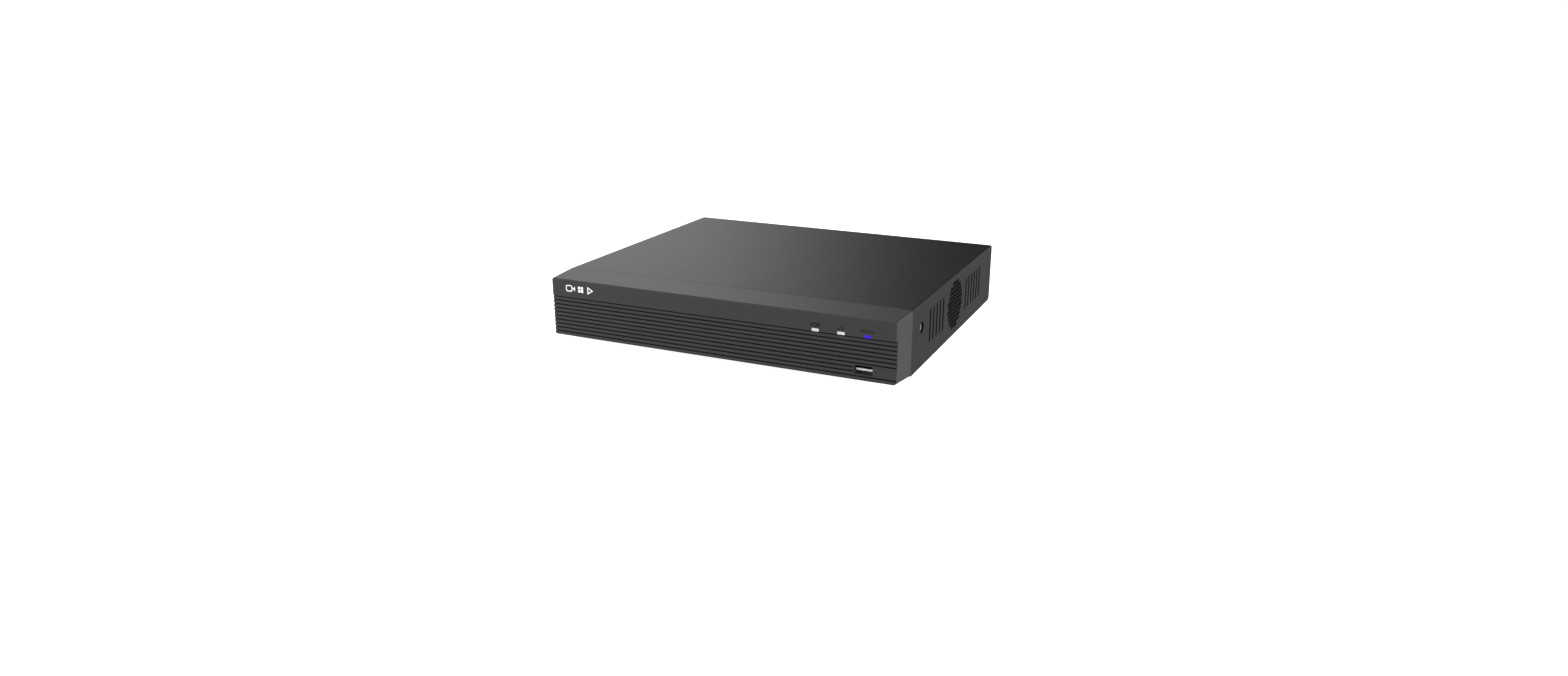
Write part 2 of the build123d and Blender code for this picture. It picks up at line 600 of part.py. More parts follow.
def reset_button_plunger():
    """Plunger with a retaining rim, standing over its travel."""
    stem = rod_z(1.74, BUTTON_X, BUTTON_Y, BOARD_TOP + 2.0, BOARD_TOP + 5.0)
    stem = fillet(stem.edges().group_by(Axis.Z)[-1], 0.3)
    return stem + rod_z(2.2, BUTTON_X, BUTTON_Y, BOARD_TOP + 1.6, BOARD_TOP + 2.6)


def board_sockets():
    """Right-angle sockets along the front edge of the main board."""
    sockets = []
    for name, x in SOCKET_X.items():
        half = SOCKET_WIDTH[name] / 2
        body = block(x - half, x + half, BOARD_FRONT_Y + 1, BOARD_FRONT_Y + 9, BOARD_TOP, BOARD_TOP + 7)
        half -= 1
        cavity = block(x - half, x + half, BOARD_FRONT_Y, BOARD_FRONT_Y + 6, BOARD_TOP + 1, BOARD_TOP + 6)
        sockets.append(body - cavity)
    return group(sockets)


# ---------------------------------------------------------------- rear connectors
def bnc_housing():
    """One insulating block behind the rear wall that carries all eight camera jacks."""
    x0 = JACK_X0 - JACK_PITCH / 2
    x1 = JACK_X0 + JACK_PITCH * 3.5
    housing = block(x0, x1, WALL_FRONT_Y - 18, WALL_FRONT_Y, BOARD_TOP, BOARD_TOP + 28.5)
    return housing - [rod_y(JACK_RADIUS, x, WALL_FRONT_Y - 6, WALL_FRONT_Y + 1, z) for x, z in jack_places()]


def bnc_barrels():
    """Bayonet barrels with their two lugs and a flange nut against the rear wall."""
    barrels = []
    for x, z in jack_places():
        barrel = rod_y(JACK_RADIUS, x, WALL_FRONT_Y - 6, JACK_TIP_Y, z)
        nut = Pos(x, WALL_BACK_Y, z) * Rot(-90, 0, 0) * hex_post(12.0, 1.8)
        barrel += nut + rod_x(1.0, x - 5.6, x + 5.6, JACK_TIP_Y - 3.4, z)
        barrels.append(barrel - rod_y(JACK_BORE, x, WALL_FRONT_Y - 7, JACK_TIP_Y + 1, z))
    return group(barrels)


def bnc_insulators():
    """Pale insulator of each camera jack, with the nose that carries the centre contact."""
    pieces = []
    for x, z in jack_places():
        piece = rod_y(JACK_BORE, x, WALL_FRONT_Y - 6, WALL_BACK_Y, z)
        piece += rod_y(2.4, x, WALL_BACK_Y, JACK_TIP_Y - 2.5, z)
        pieces.append(piece - rod_y(1.05, x, WALL_FRONT_Y - 7, JACK_TIP_Y, z))
    return group(pieces)


def bnc_contacts():
    """Hollow centre contacts of the camera jacks."""
    contacts = []
    for x, z in jack_places():
        tube = rod_y(1.05, x, WALL_FRONT_Y - 6, JACK_TIP_Y - 2.6, z)
        contacts.append(tube - rod_y(0.68, x, WALL_BACK_Y, JACK_TIP_Y, z))
    return group(contacts)


def rca_housing():
    """Moulded body of the stacked audio jacks, with a bored nose inside each sleeve."""
    housing = block(AUDIO_X - 6, AUDIO_X + 6, WALL_FRONT_Y - 14, WALL_FRONT_Y, BOARD_TOP, BOARD_TOP + 26.5)
    nose_radius = AUDIO_ROOT_RADIUS - AUDIO_WALL
    nose_tip = WALL_BACK_Y + AUDIO_REACH - 0.6
    for z in AUDIO_ROWS:
        housing -= rod_y(AUDIO_ROOT_RADIUS, AUDIO_X, WALL_FRONT_Y - 4, WALL_FRONT_Y + 1, z)
        housing += rod_y(nose_radius, AUDIO_X, WALL_FRONT_Y - 5, nose_tip, z)
        housing -= rod_y(1.6, AUDIO_X, WALL_FRONT_Y - 3, WALL_BACK_Y + AUDIO_REACH, z)
    return housing


def rca_sleeves():
    """Plated outer sleeves of the audio jacks."""
    sleeves = []
    for z in AUDIO_ROWS:
        sleeve = rod_y(AUDIO_ROOT_RADIUS, AUDIO_X, WALL_FRONT_Y - 4, WALL_BACK_Y, z)
        sleeve += rod_y(AUDIO_RADIUS, AUDIO_X, WALL_BACK_Y, WALL_BACK_Y + AUDIO_REACH, z)
        bore = rod_y(AUDIO_ROOT_RADIUS - AUDIO_WALL, AUDIO_X, WALL_FRONT_Y - 5, BACK_Y + AUDIO_REACH, z)
        sleeves.append(sleeve - bore)
    return group(sleeves)


def vga_outline(inset):
    """D-shaped outline of the display connector, moved inwards by inset."""
    half_top = 8.45 - inset
    half_bottom = 7.35 - inset
    half_high = 4.2 - inset
    right = [(half_bottom, -half_high), (half_top, half_high)]
    left = [(-x, z) for x, z in reversed(right)]
    return fillet(Polygon(*right, *left, align=None).vertices(), 1.6)


def vga_shell():
    """Plated flange plate and D-shaped shell outside the rear wall."""
    flange = block(VGA_X - 15.4, VGA_X + 15.4, WALL_BACK_Y, WALL_BACK_Y + 0.6, VGA_Z - 6.2, VGA_Z + 6.2)
    flange = fillet(flange.edges().filter_by(Axis.Y), 1.5)
    plane = facing_front(VGA_X, WALL_BACK_Y, VGA_Z)
    shell = flange + extrude(plane * vga_outline(0), amount=-6.4)
    shell -= extrude(plane * vga_outline(0.4), amount=-8)
    for side in (-1, 1):
        shell -= rod_y(1.6, VGA_X + side * VGA_SCREW_SPACING / 2, WALL_BACK_Y - 1, WALL_BACK_Y + 2, VGA_Z)
    return shell


def vga_insulator():
    """Block behind the wall and the nose with three rows of five contact holes."""
    body = block(VGA_X - 15.4, VGA_X + 15.4, WALL_FRONT_Y - 9, WALL_FRONT_Y, BOARD_TOP, VGA_Z + 6.2)
    plane = facing_front(VGA_X, WALL_FRONT_Y - 1, VGA_Z)
    body += extrude(plane * vga_outline(0.4), amount=-7.0)
    for row in (-1, 0, 1):
        for column in range(5):
            x = VGA_X + (column - 2) * 2.3 - row * 0.5
            body -= rod_y(0.5, x, WALL_BACK_Y, WALL_BACK_Y + 6, VGA_Z + row * 2.0)
    for side in (-1, 1):
        body -= rod_y(1.6, VGA_X + side * VGA_SCREW_SPACING / 2, WALL_FRONT_Y - 5, WALL_FRONT_Y + 1, VGA_Z)
    return body


def vga_jackscrews():
    """Hexagonal threaded posts either side of the display connector."""
    posts = []
    for side in (-1, 1):
        x = VGA_X + side * VGA_SCREW_SPACING / 2
        post = Pos(x, WALL_BACK_Y + 0.6, VGA_Z) * Rot(-90, 0, 0) * hex_post(4.8, 5.0)
        post += rod_y(1.6, x, WALL_FRONT_Y - 4, WALL_BACK_Y + 0.6, VGA_Z)
        posts.append(post - rod_y(1.42, x, WALL_BACK_Y + 0.6, WALL_BACK_Y + 7, VGA_Z))
    return group(posts)


def hdmi_outline(inset):
    """Outline of the digital video socket: a rectangle with bevelled lower corners."""
    half_w = 7.5 - inset
    half_h = 2.8 - inset
    right = [(half_w - 2.0, -half_h), (half_w, -0.6), (half_w, half_h)]
    left = [(-x, z) for x, z in reversed(right)]
    return Polygon(*right, *left, align=None)


def hdmi_shell():
    plane = facing_front(HDMI_X, WALL_FRONT_Y - 11, HDMI_Z)
    shell = extrude(plane * hdmi_outline(0), amount=-(11 + SHEET + 0.8))
    return shell - extrude(plane * hdmi_outline(0.35), amount=-14)


def hdmi_tongue():
    """Insulator at the socket's end and the thin tongue with its contacts."""
    plane = facing_front(HDMI_X, WALL_FRONT_Y - 11, HDMI_Z)
    base = extrude(plane * hdmi_outline(0.35), amount=-3)
    low = HDMI_Z + 0.1
    return base + block(HDMI_X - 5.6, HDMI_X + 5.6, WALL_FRONT_Y - 8, WALL_BACK_Y - 0.5, low, low + 1.0)


def network_jack():
    """Shielded network socket with its latch notch."""
    half = LAN_WIDTH / 2
    top = BOARD_TOP + LAN_HEIGHT
    jack = block(LAN_X - half, LAN_X + half, WALL_BACK_Y - 21, WALL_BACK_Y + 0.6, BOARD_TOP, top)
    mouth_low = BOARD_TOP + 3.4
    jack -= block(LAN_X - 5.9, LAN_X + 5.9, WALL_BACK_Y - 13, WALL_BACK_Y + 1, mouth_low, mouth_low + 8.0)
    jack -= block(LAN_X - 3.1, LAN_X + 3.1, WALL_BACK_Y - 9, WALL_BACK_Y + 1, mouth_low - 1.4, mouth_low + 1)
    latch_low = mouth_low - 2.2
    return jack - block(LAN_X - 2.0, LAN_X + 2.0, WALL_BACK_Y - 9, WALL_BACK_Y + 1, latch_low, mouth_low)


def terminal_block():
    """Four-way screw terminal with wire entries at the rear and screw wells on top."""
    half = TERMINAL_WAYS * TERMINAL_PITCH / 2 + 0.2
    top = BOARD_TOP + 8.5
    body = block(TERMINAL_X - half, TERMINAL_X + half, WALL_FRONT_Y - 8, WALL_BACK_Y + 2.5, BOARD_TOP, top)
    body = chamfer(body.edges().filter_by(Axis.X).group_by(Axis.Z)[-1], 1.0)
    for index in range(TERMINAL_WAYS):
        x = TERMINAL_X + (index - (TERMINAL_WAYS - 1) / 2) * TERMINAL_PITCH
        body -= block(x - 1.2, x + 1.2, WALL_BACK_Y - 4, WALL_BACK_Y + 3, BOARD_TOP + 1.6, BOARD_TOP + 4.4)
        body -= rod_z(1.35, x, WALL_FRONT_Y - 4, BOARD_TOP + 5, BOARD_TOP + 9)
    return body


def dc_jack_housing():
    """Power socket body with its round bore."""
    mouth_y = WALL_BACK_Y + 0.4
    body = block(POWER_X - 4.5, POWER_X + 4.5, WALL_FRONT_Y - 13, mouth_y, BOARD_TOP, BOARD_TOP + 11)
    return body - rod_y(POWER_BORE, POWER_X, mouth_y - POWER_DEPTH, mouth_y + 1, POWER_Z)


def dc_jack_pin():
    """Centre pin of the power socket."""
    pin = rod_y(1.0, POWER_X, WALL_BACK_Y + 0.4 - POWER_DEPTH, WALL_BACK_Y - 0.4, POWER_Z)
    return fillet(pin.edges().group_by(Axis.Y)[-1], 0.6)


# ---------------------------------------------------------------- hard disk
def hdd_casting():
    """Cast case with the disk well on top, a board recess underneath and the two fixed posts."""
    case = block(DISK_X0, DISK_X1, DISK_Y0, DISK_Y1, DISK_Z, DISK_Z + DISK_CASE_HEIGHT)
    case = fillet(case.edges().filter_by(Axis.Z), 3.0)
    well_z = DISK_Z + 7.0
    top_z = DISK_Z + DISK_CASE_HEIGHT
    case -= rod_z(PLATTER_RADIUS + 1.8, SPINDLE_X, SPINDLE_Y, well_z, top_z + 1)
    case -= block(SPINDLE_X, DISK_X1 - 8, DISK_Y0 + 4, DISK_Y1 - 4, well_z, top_z + 1)
    case -= block(DISK_X0 + 52, DISK_X1 + 1, DISK_Y0 + 9, DISK_Y1 - 9, DISK_Z - 1, DISK_Z + 4.5)
    case += rod_z(2.5, SPINDLE_X, SPINDLE_Y, well_z - 1, DISK_Z + 19)
    case += rod_z(2.5, PIVOT_X, PIVOT_Y, well_z - 1, DISK_Z + 21)
    case -= [rod_z(THREAD_RADIUS, x, y, DISK_Z - 1, DISK_Z + 5) for x, y in disk_screw_places()]
    return case


def hdd_lid():
    """Pressed lid with a raised field over the disks."""
    low = DISK_Z + DISK_CASE_HEIGHT
    lid = block(DISK_X0 + 0.5, DISK_X1 - 0.5, DISK_Y0 + 0.5, DISK_Y1 - 0.5, low, low + 0.9)
    lid = fillet(lid.edges().filter_by(Axis.Z), 3.0)
    field = rod_z(PLATTER_RADIUS - 3, SPINDLE_X, SPINDLE_Y, low + 0.9, low + DISK_LID)
    field += block(SPINDLE_X, DISK_X1 - 14, DISK_Y0 + 12, DISK_Y1 - 12, low + 0.9, low + DISK_LID)
    return lid + field


def hdd_platters():
    """Two disks on their hub, turning on the spindle post."""
    stack = rod_z(12.5, SPINDLE_X, SPINDLE_Y, DISK_Z + 8, DISK_Z + 18.5)
    for height in PLATTER_HEIGHTS:
        low = DISK_Z + height
        stack += rod_z(PLATTER_RADIUS, SPINDLE_X, SPINDLE_Y, low, low + PLATTER_THICK)
    stack -= rod_z(2.55, SPINDLE_X, SPINDLE_Y, DISK_Z, DISK_Z + 20)
    hub_top = Pos(SPINDLE_X, SPINDLE_Y, DISK_Z + 18.5)
    return stack - [hub_top * place * Cylinder(1.0, 2) for place in PolarLocations(8, 6)]


def hdd_actuator():
    """Head arms, pivot hub and voice coil, turning on the pivot post."""
    hub = rod_z(5.2, 0, 0, 8.0, 20.0)
    arm = extrude(Polygon((0, -5), (ARM_LENGTH, -1.5), (ARM_LENGTH, 1.5), (0, 5), align=None), amount=1.0)
    hub += [Pos(0, 0, height) * arm for height in ARM_HEIGHTS]
    coil = extrude(Polygon((-3, -6), (-18, -10), (-18, 10), (-3, 6), align=None), amount=2.0)
    coil -= extrude(Polygon((-8, -2), (-15, -6), (-15, 6), (-8, 2), align=None), amount=2.0)
    hub += Pos(0, 0, 13.0) * coil
    hub -= rod_z(2.55, 0, 0, 0, 25)
    return Pos(PIVOT_X, PIVOT_Y, DISK_Z) * Rot(0, 0, ARM_PARK_ANGLE) * hub


def hdd_circuit_board():
    """Controller board in the case's recess, and the connector strip at its edge."""
    strip_x = DISK_X1 - 10
    board = block(DISK_X0 + 53, strip_x, DISK_Y0 + 10, DISK_Y1 - 10, DISK_Z + 2.9, DISK_Z + 4.5)
    strip = block(strip_x, DISK_X1, SPINDLE_Y - 34, SPINDLE_Y + 26, DISK_Z + 0.3, DISK_Z + 4.5)
    return group([board, strip])


def hdd_screws():
    """Screws up through the tray floor into the case."""
    screw = Rot(180, 0, 0) * pan_screw(6.5)
    return group([Pos(x, y, BASE_Z) * screw for x, y in disk_screw_places()])


# ---------------------------------------------------------------- fan
def fan_screw_offsets():
    half = FAN_SCREW_PITCH / 2
    return [(y, z) for y in (-half, half) for z in (-half, half)]


def fan_pose(shape):
    """Turns a piece drawn with the fan's axis up into its place against the right side."""
    return Pos(FAN_X, FAN_Y, FAN_Z) * Rot(0, 90, 0) * shape


def fan_frame():
    """Square duct with corner screw holes, and the motor base on four struts."""
    frame = Pos(0, 0, FAN_DEPTH / 2) * Box(FAN_SIZE, FAN_SIZE, FAN_DEPTH)
    frame = fillet(frame.edges().filter_by(Axis.Z), 3.0)
    frame -= rod_z(FAN_BORE, 0, 0, -1, FAN_DEPTH + 1)
    frame += rod_z(9.5, 0, 0, 0, 1.5)
    for angle in (45, 135, 225, 315):
        frame += Rot(0, 0, angle) * block(8, FAN_BORE + 1, -1.4, 1.4, 0, 1.8)
    frame += rod_z(3.0, 0, 0, 1.5, 5.0)
    frame -= rod_z(1.05, 0, 0, 0.6, 6.0)
    frame -= [rod_z(THREAD_RADIUS, y, z, -1, FAN_DEPTH + 1) for y, z in fan_screw_offsets()]
    return fan_pose(frame)


def fan_rotor():
    """Hub cup on its shaft with seven pitched blades."""
    rotor = rod_z(9.6, 0, 0, 2.2, 9.0)
    rotor = fillet(rotor.edges().group_by(Axis.Z)[-1], 0.8)
    rotor -= rod_z(8.6, 0, 0, 2.0, 8.0)
    rotor += rod_z(1.0, 0, 0, 0.9, 8.5)
    sweep_ring = rod_z(18.6, 0, 0, 2.4, 9.2) - rod_z(9.2, 0, 0, 2.0, 9.6)
    blade = Pos(14.0, 0, 5.8) * Rot(38, 0, 0) * Box(12.0, 8.6, 0.9)
    for place in PolarLocations(0, 7):
        rotor += (place * blade) & sweep_ring
    return fan_pose(rotor)


def fan_bracket():
    """Upright plate beside the fan with an air hole, and a foot on the tray floor."""
    plate_x = FAN_X + FAN_DEPTH
    half = FAN_SIZE / 2 + 1
    bracket = block(plate_x, plate_x + SHEET, FAN_Y - half, FAN_Y + half, FLOOR_Z, FAN_Z + FAN_SIZE / 2)
    bracket += block(plate_x - 11, plate_x, FAN_Y - half, FAN_Y + half, FLOOR_Z, FLOOR_Z + SHEET)
    bracket -= rod_x(FAN_BORE, plate_x - 1, plate_x + 2, FAN_Y, FAN_Z)
    holes = [(FAN_Y + y, FAN_Z + z) for y, z in fan_screw_offsets()]
    return bracket - [rod_x(THREAD_RADIUS, plate_x - 1, plate_x + 2, y, z) for y, z in holes]


def fan_screws():
    screw = Rot(0, 90, 0) * pan_screw(8.0)
    plate_x = FAN_X + FAN_DEPTH + SHEET
    return group([Pos(plate_x, FAN_Y + y, FAN_Z + z) * screw for y, z in fan_screw_offsets()])


# ---------------------------------------------------------------- leads inside the case
LEAD_Z = BOARD_TOP + 3.5
PLUG_FRONT_Y = BOARD_FRONT_Y + 1 - PLUG_LENGTH
DISK_PLUG_X = DISK_X1 + PLUG_LENGTH

DATA_CABLE = (
    (DISK_PLUG_X, DATA_PLUG_Y, LEAD_Z),
    (45, DATA_PLUG_Y, LEAD_Z),
    (52, -18, LEAD_Z),
    (52, -8, LEAD_Z),
    (SOCKET_X["data"], 2, LEAD_Z),
    (SOCKET_X["data"], PLUG_FRONT_Y, LEAD_Z),
)
POWER_CABLE = (
    (DISK_PLUG_X, POWER_PLUG_Y, LEAD_Z),
    (54, POWER_PLUG_Y, LEAD_Z),
    (68, -44, LEAD_Z),
    (74, -26, LEAD_Z),
    (70, -6, LEAD_Z),
    (SOCKET_X["power"], 6, LEAD_Z),
    (SOCKET_X["power"], PLUG_FRONT_Y, LEAD_Z),
)
PANEL_CABLE = (
    (92, PANEL_Y + BOARD_THICK + 6, BASE_Z + 18),
    (92, SEAM_Y + 12, BASE_Z + 18),
    (97, SEAM_Y + 30, BASE_Z + 15),
    (95, SEAM_Y + 54, BASE_Z + 11),
    (88, SEAM_Y + 76, BASE_Z + 10),
    (SOCKET_X["panel"], SEAM_Y + 96, LEAD_Z),
    (SOCKET_X["panel"], PLUG_FRONT_Y, LEAD_Z),
)
FAN_CABLE = (
    (FAN_X, FAN_Y - 12, FAN_Z - 17.5),
    (FAN_X - 7, FAN_Y - 12, FAN_Z - 17.5),
    (SOCKET_X["fan"], FAN_Y - 4, LEAD_Z),
    (SOCKET_X["fan"], PLUG_FRONT_Y, LEAD_Z),
)


def cable_plugs():
    """Plugs on both ends of the disk leads, and those of the panel and fan leads."""
    plugs = []
    for name, x in SOCKET_X.items():
        half = SOCKET_WIDTH[name] / 2 - 1.2
        low = LEAD_Z - PLUG_HEIGHT / 2
        shoulder = block(x - half, x + half, PLUG_FRONT_Y, BOARD_FRONT_Y + 1, low, low + PLUG_HEIGHT)
        shoulder = fillet(shoulder.edges().filter_by(Axis.Y), 0.5)
        plugs.append(shoulder)
    for y, half in ((DATA_PLUG_Y, 8.0), (POWER_PLUG_Y, 12.0)):
        low = DISK_Z + 1.0
        plugs.append(block(DISK_X1, DISK_PLUG_X, y - half, y + half, low, LEAD_Z + 3.2))
    x, y, z = PANEL_CABLE[0]
    plugs.append(block(x - 6, x + 6, PANEL_Y + BOARD_THICK, y, z - 2.5, z + 2.5))
    return group(plugs)


PARTS = {
    "top_cover": top_cover(),
    "base_tray": base_tray(),
    "front_bezel": front_bezel(),
    "rubber_feet": rubber_feet(),
    "cover_screws": cover_screws(),
    "bezel_screws": bezel_screws(),
    "ground_screw": ground_screw(),
    "front_panel_board": front_panel_board(),
    "front_leds": front_leds(),
    "front_usb_shell": usb_shell(USB_X, USB_Z, FRONT_Y + FACE_WALL, PANEL_Y),
    "front_usb_tongue": usb_tongue(USB_X, USB_Z, FRONT_Y + 2.2, PANEL_Y),
    "front_panel_cable": swept(PANEL_CABLE, Circle(1.8)),
    "main_board": main_board(),
    "board_standoffs": board_standoffs(),
    "board_screws": board_screws(),
    "processor_chip": chip(CHIP_X, CHIP_Y, 23.0, 23.0, CHIP_TOP - BOARD_TOP),
    "processor_heatsink": processor_heatsink(),
    "memory_chips": memory_chips(),
    "power_inductors": power_inductors(),
    "filter_capacitors": filter_capacitors(),
    "buzzer": buzzer(),
    "coin_cell_holder": coin_cell_holder(),
    "coin_cell": coin_cell(),
    "reset_button_case": reset_button_case(),
    "reset_button_plunger": reset_button_plunger(),
    "board_sockets": board_sockets(),
    "bnc_housing": bnc_housing(),
    "bnc_barrels": bnc_barrels(),
    "bnc_insulators": bnc_insulators(),
    "bnc_contacts": bnc_contacts(),
    "rca_housing": rca_housing(),
    "rca_sleeves": rca_sleeves(),
    "vga_shell": vga_shell(),
    "vga_insulator": vga_insulator(),
    "vga_jackscrews": vga_jackscrews(),
    "hdmi_shell": hdmi_shell(),
    "hdmi_tongue": hdmi_tongue(),
    "network_jack": network_jack(),
    "rear_usb_shell": usb_shell(REAR_USB_X, REAR_USB_Z, WALL_BACK_Y + 0.8, WALL_BACK_Y - 14),
    "rear_usb_tongue": usb_tongue(REAR_USB_X, REAR_USB_Z, WALL_BACK_Y - 0.6, WALL_BACK_Y - 14),
    "terminal_block": terminal_block(),
    "dc_jack_housing": dc_jack_housing(),
    "dc_jack_pin": dc_jack_pin(),
    "hdd_casting": hdd_casting(),
    "hdd_lid": hdd_lid(),
    "hdd_platters": hdd_platters(),
    "hdd_actuator": hdd_actuator(),
    "hdd_circuit_board": hdd_circuit_board(),
    "hdd_screws": hdd_screws(),
    "fan_frame": fan_frame(),
    "fan_rotor": fan_rotor(),
    "fan_bracket": fan_bracket(),
    "fan_screws": fan_screws(),
    "fan_lead": swept(FAN_CABLE, Circle(1.2)),
    "sata_data_cable": swept(DATA_CABLE, Rectangle(5.0, 1.8)),
    "sata_power_cable": swept(POWER_CABLE, Circle(2.0)),
    "cable_plugs": cable_plugs(),
}
for light_name, light_x in zip(LIGHT_NAMES, LIGHT_X):
    PARTS[light_name + "_light_pipe"] = light_pipe(light_x)

os.makedirs("parts", exist_ok=True)
for part_name, part_shape in PARTS.items():
    export_step(part_shape, f"parts/{part_name}.step")
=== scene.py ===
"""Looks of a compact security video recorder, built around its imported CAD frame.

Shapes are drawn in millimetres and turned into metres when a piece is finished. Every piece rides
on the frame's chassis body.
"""

import math
import random

import bmesh
import bpy
from mathutils import Matrix, Vector
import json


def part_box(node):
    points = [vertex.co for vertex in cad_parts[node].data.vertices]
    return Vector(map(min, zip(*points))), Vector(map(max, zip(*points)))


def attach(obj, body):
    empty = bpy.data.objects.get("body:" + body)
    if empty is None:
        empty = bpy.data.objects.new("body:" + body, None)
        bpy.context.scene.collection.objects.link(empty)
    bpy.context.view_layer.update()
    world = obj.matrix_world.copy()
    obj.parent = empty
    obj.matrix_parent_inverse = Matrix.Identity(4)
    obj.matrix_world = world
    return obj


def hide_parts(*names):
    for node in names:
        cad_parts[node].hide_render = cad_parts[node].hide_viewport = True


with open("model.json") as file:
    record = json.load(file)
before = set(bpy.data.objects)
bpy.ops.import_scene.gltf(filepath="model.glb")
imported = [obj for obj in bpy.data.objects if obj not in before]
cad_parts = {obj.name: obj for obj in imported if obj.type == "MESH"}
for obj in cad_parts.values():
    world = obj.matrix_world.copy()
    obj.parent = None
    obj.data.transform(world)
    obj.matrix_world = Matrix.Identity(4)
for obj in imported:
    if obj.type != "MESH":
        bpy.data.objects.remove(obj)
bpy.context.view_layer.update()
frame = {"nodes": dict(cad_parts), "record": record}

MM = 0.001
NODES = frame["nodes"]
MOUNTS = {mount["name"]: Vector(mount["pos_m"]) / MM for mount in frame["record"]["mounts"]}


def corners(node):
    """Lowest and highest corner of a CAD node, in millimetres."""
    low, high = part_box(node)
    return low / MM, high / MM


def centre(node):
    low, high = corners(node)
    return (low + high) / 2


FACE_Y = corners("front_bezel")[0].y
REAR_Y = corners("base_tray")[1].y
TRAY_SIDE_X = corners("base_tray")[1].x
COVER_SIDE_X = corners("top_cover")[1].x
COVER_TOP_Z = corners("top_cover")[1].z
FLOOR_UNDER = corners("base_tray")[0].z
BOARD_TOP = corners("main_board")[1].z
GROOVE_TOP_Y = FACE_Y + 0.65
GROOVED_BELOW = 33.6
USB_TONGUE = 1.3
JACK_PITCH = 16.0
NUMERAL_SIZE = 2.66  # makes the figures 1.9 tall
INK = 0.05  # how far printing stands off its surface


# ---- materials
class Nodes:
    """Short ways to lay nodes in a tree."""

    def __init__(self, tree):
        self.tree = tree

    def node(self, kind, inputs=None, **settings):
        made = self.tree.nodes.new(kind)
        for label, value in settings.items():
            setattr(made, label, value)
        for label, value in (inputs or {}).items():
            if isinstance(value, bpy.types.NodeSocket):
                self.tree.links.new(value, made.inputs[label])
            else:
                made.inputs[label].default_value = value
        return made

    def math(self, operation, first, second=0.0):
        return self.node("ShaderNodeMath", {0: first, 1: second}, operation=operation).outputs[0]

    def product(self, first, *others):
        for other in others:
            first = self.math("MULTIPLY", first, other)
        return first

    def remap(self, value, low, high, start=0.3, end=0.7, how="LINEAR"):
        inputs = {"Value": value, "From Min": start, "From Max": end, "To Min": low, "To Max": high}
        return self.node("ShaderNodeMapRange", inputs, interpolation_type=how).outputs["Result"]

    def mix(self, share, *ends):
        """Colour between two ends, each a colour or a socket."""
        first, second = ((*end, 1.0) if isinstance(end, tuple) else end for end in ends)
        return self.node("ShaderNodeMix", {0: share, 6: first, 7: second}, data_type="RGBA").outputs[2]


class Surface(Nodes):
    """A material in the making: one Principled shader fed from Object coordinates."""

    def __init__(self, name, **values):
        self.material = bpy.data.materials.new(name)
        self.material.use_nodes = True
        super().__init__(self.material.node_tree)
        self.shader = self.tree.nodes["Principled BSDF"]
        self.place = self.node("ShaderNodeTexCoord").outputs["Object"]
        for label, value in values.items():
            self.shader.inputs[label.replace("_", " ")].default_value = value

    def drive(self, label, socket):
        self.tree.links.new(socket, self.shader.inputs[label])

    def noise(self, size, detail=2.0, stretch=None):
        """Soft noise whose features are about size millimetres across."""
        place = self.place
        if stretch:
            place = self.node("ShaderNodeMapping", {"Vector": place, "Scale": stretch}).outputs["Vector"]
        inputs = {"Vector": place, "Scale": 1 / (size * MM), "Detail": detail}
        return self.node("ShaderNodeTexNoise", inputs).outputs["Fac"]

    def cells(self, size, output="Distance", **settings):
        inputs = {"Vector": self.place, "Scale": 1 / (size * MM)}
        return self.node("ShaderNodeTexVoronoi", inputs, **settings).outputs[output]

    def axis(self, label):
        """One Object coordinate, in metres."""
        return self.node("ShaderNodeSeparateXYZ", {"Vector": self.place}).outputs[label]

    def under(self, label, limit):
        """1 where an Object coordinate is less than limit, in millimetres, and 0 elsewhere."""
        return self.math("LESS_THAN", self.axis(label), limit * MM)

    def colour(self, share, dark, light):
        self.drive("Base Color", self.mix(self.remap(share, 0, 1), dark, light))

    def rough(self, share, low, high):
        self.drive("Roughness", self.remap(share, low, high))

    def bump(self, *layers):
        """Bump from (height socket, depth in millimetres) pairs, laid over each other."""
        normal = None
        for height, depth in layers:
            inputs = {"Height": height, "Distance": depth * MM, "Strength": 1.0}
            if normal:
                inputs["Normal"] = normal
            normal = self.node("ShaderNodeBump", inputs).outputs["Normal"]
        self.drive("Normal", normal)
        return self.material


def grey(level):
    return (level, level, level)


def satin_paint():
    """Powder-coated black sheet: orange peel over a fine grain. On its inner faces and in the vents the
    paint is thin and matt, and its colour is painted much darker as painted shade.
    """
    look = Surface("satin_black_paint", IOR=1.42)
    side = look.math("ABSOLUTE", look.axis("X"))
    beside = look.math("LESS_THAN", side, (COVER_SIDE_X - 0.05) * MM)
    inside_shade_mask = look.product(beside, look.under("Z", COVER_TOP_Z - 3.2), look.under("Y", REAR_Y))
    tone = look.mix(look.noise(14), grey(0.0135), grey(0.0155))
    # painted shade: inner faces and vent walls get a near-black colour instead of the paint's own tone
    look.drive("Base Color", look.mix(inside_shade_mask, tone, grey(0.005)))
    outside_rough = look.remap(look.noise(70), 0.335, 0.355)
    look.drive("Roughness", look.math("ADD", outside_rough, look.product(inside_shade_mask, 0.4)))
    return look.bump((look.noise(1.6), 0.004), (look.noise(0.35), 0.0025))


def two_tone_tongue():
    """Light nylon socket tongue: only its front edge keeps its light colour; behind that edge, painted shade
    makes it near black.
    """
    look = Surface("two_tone_tongue")
    front = look.under("Y", corners("front_usb_tongue")[0].y + 0.3)
    light = look.mix(look.noise(1.5), (0.50, 0.50, 0.48), (0.58, 0.58, 0.56))
    # painted shade: all of the tongue but its front edge is near black
    look.drive("Base Color", look.mix(front, grey(0.012), light))
    look.rough(look.noise(2, 3), 0.38, 0.5)
    return look.bump((look.noise(0.5, 3), 0.004))


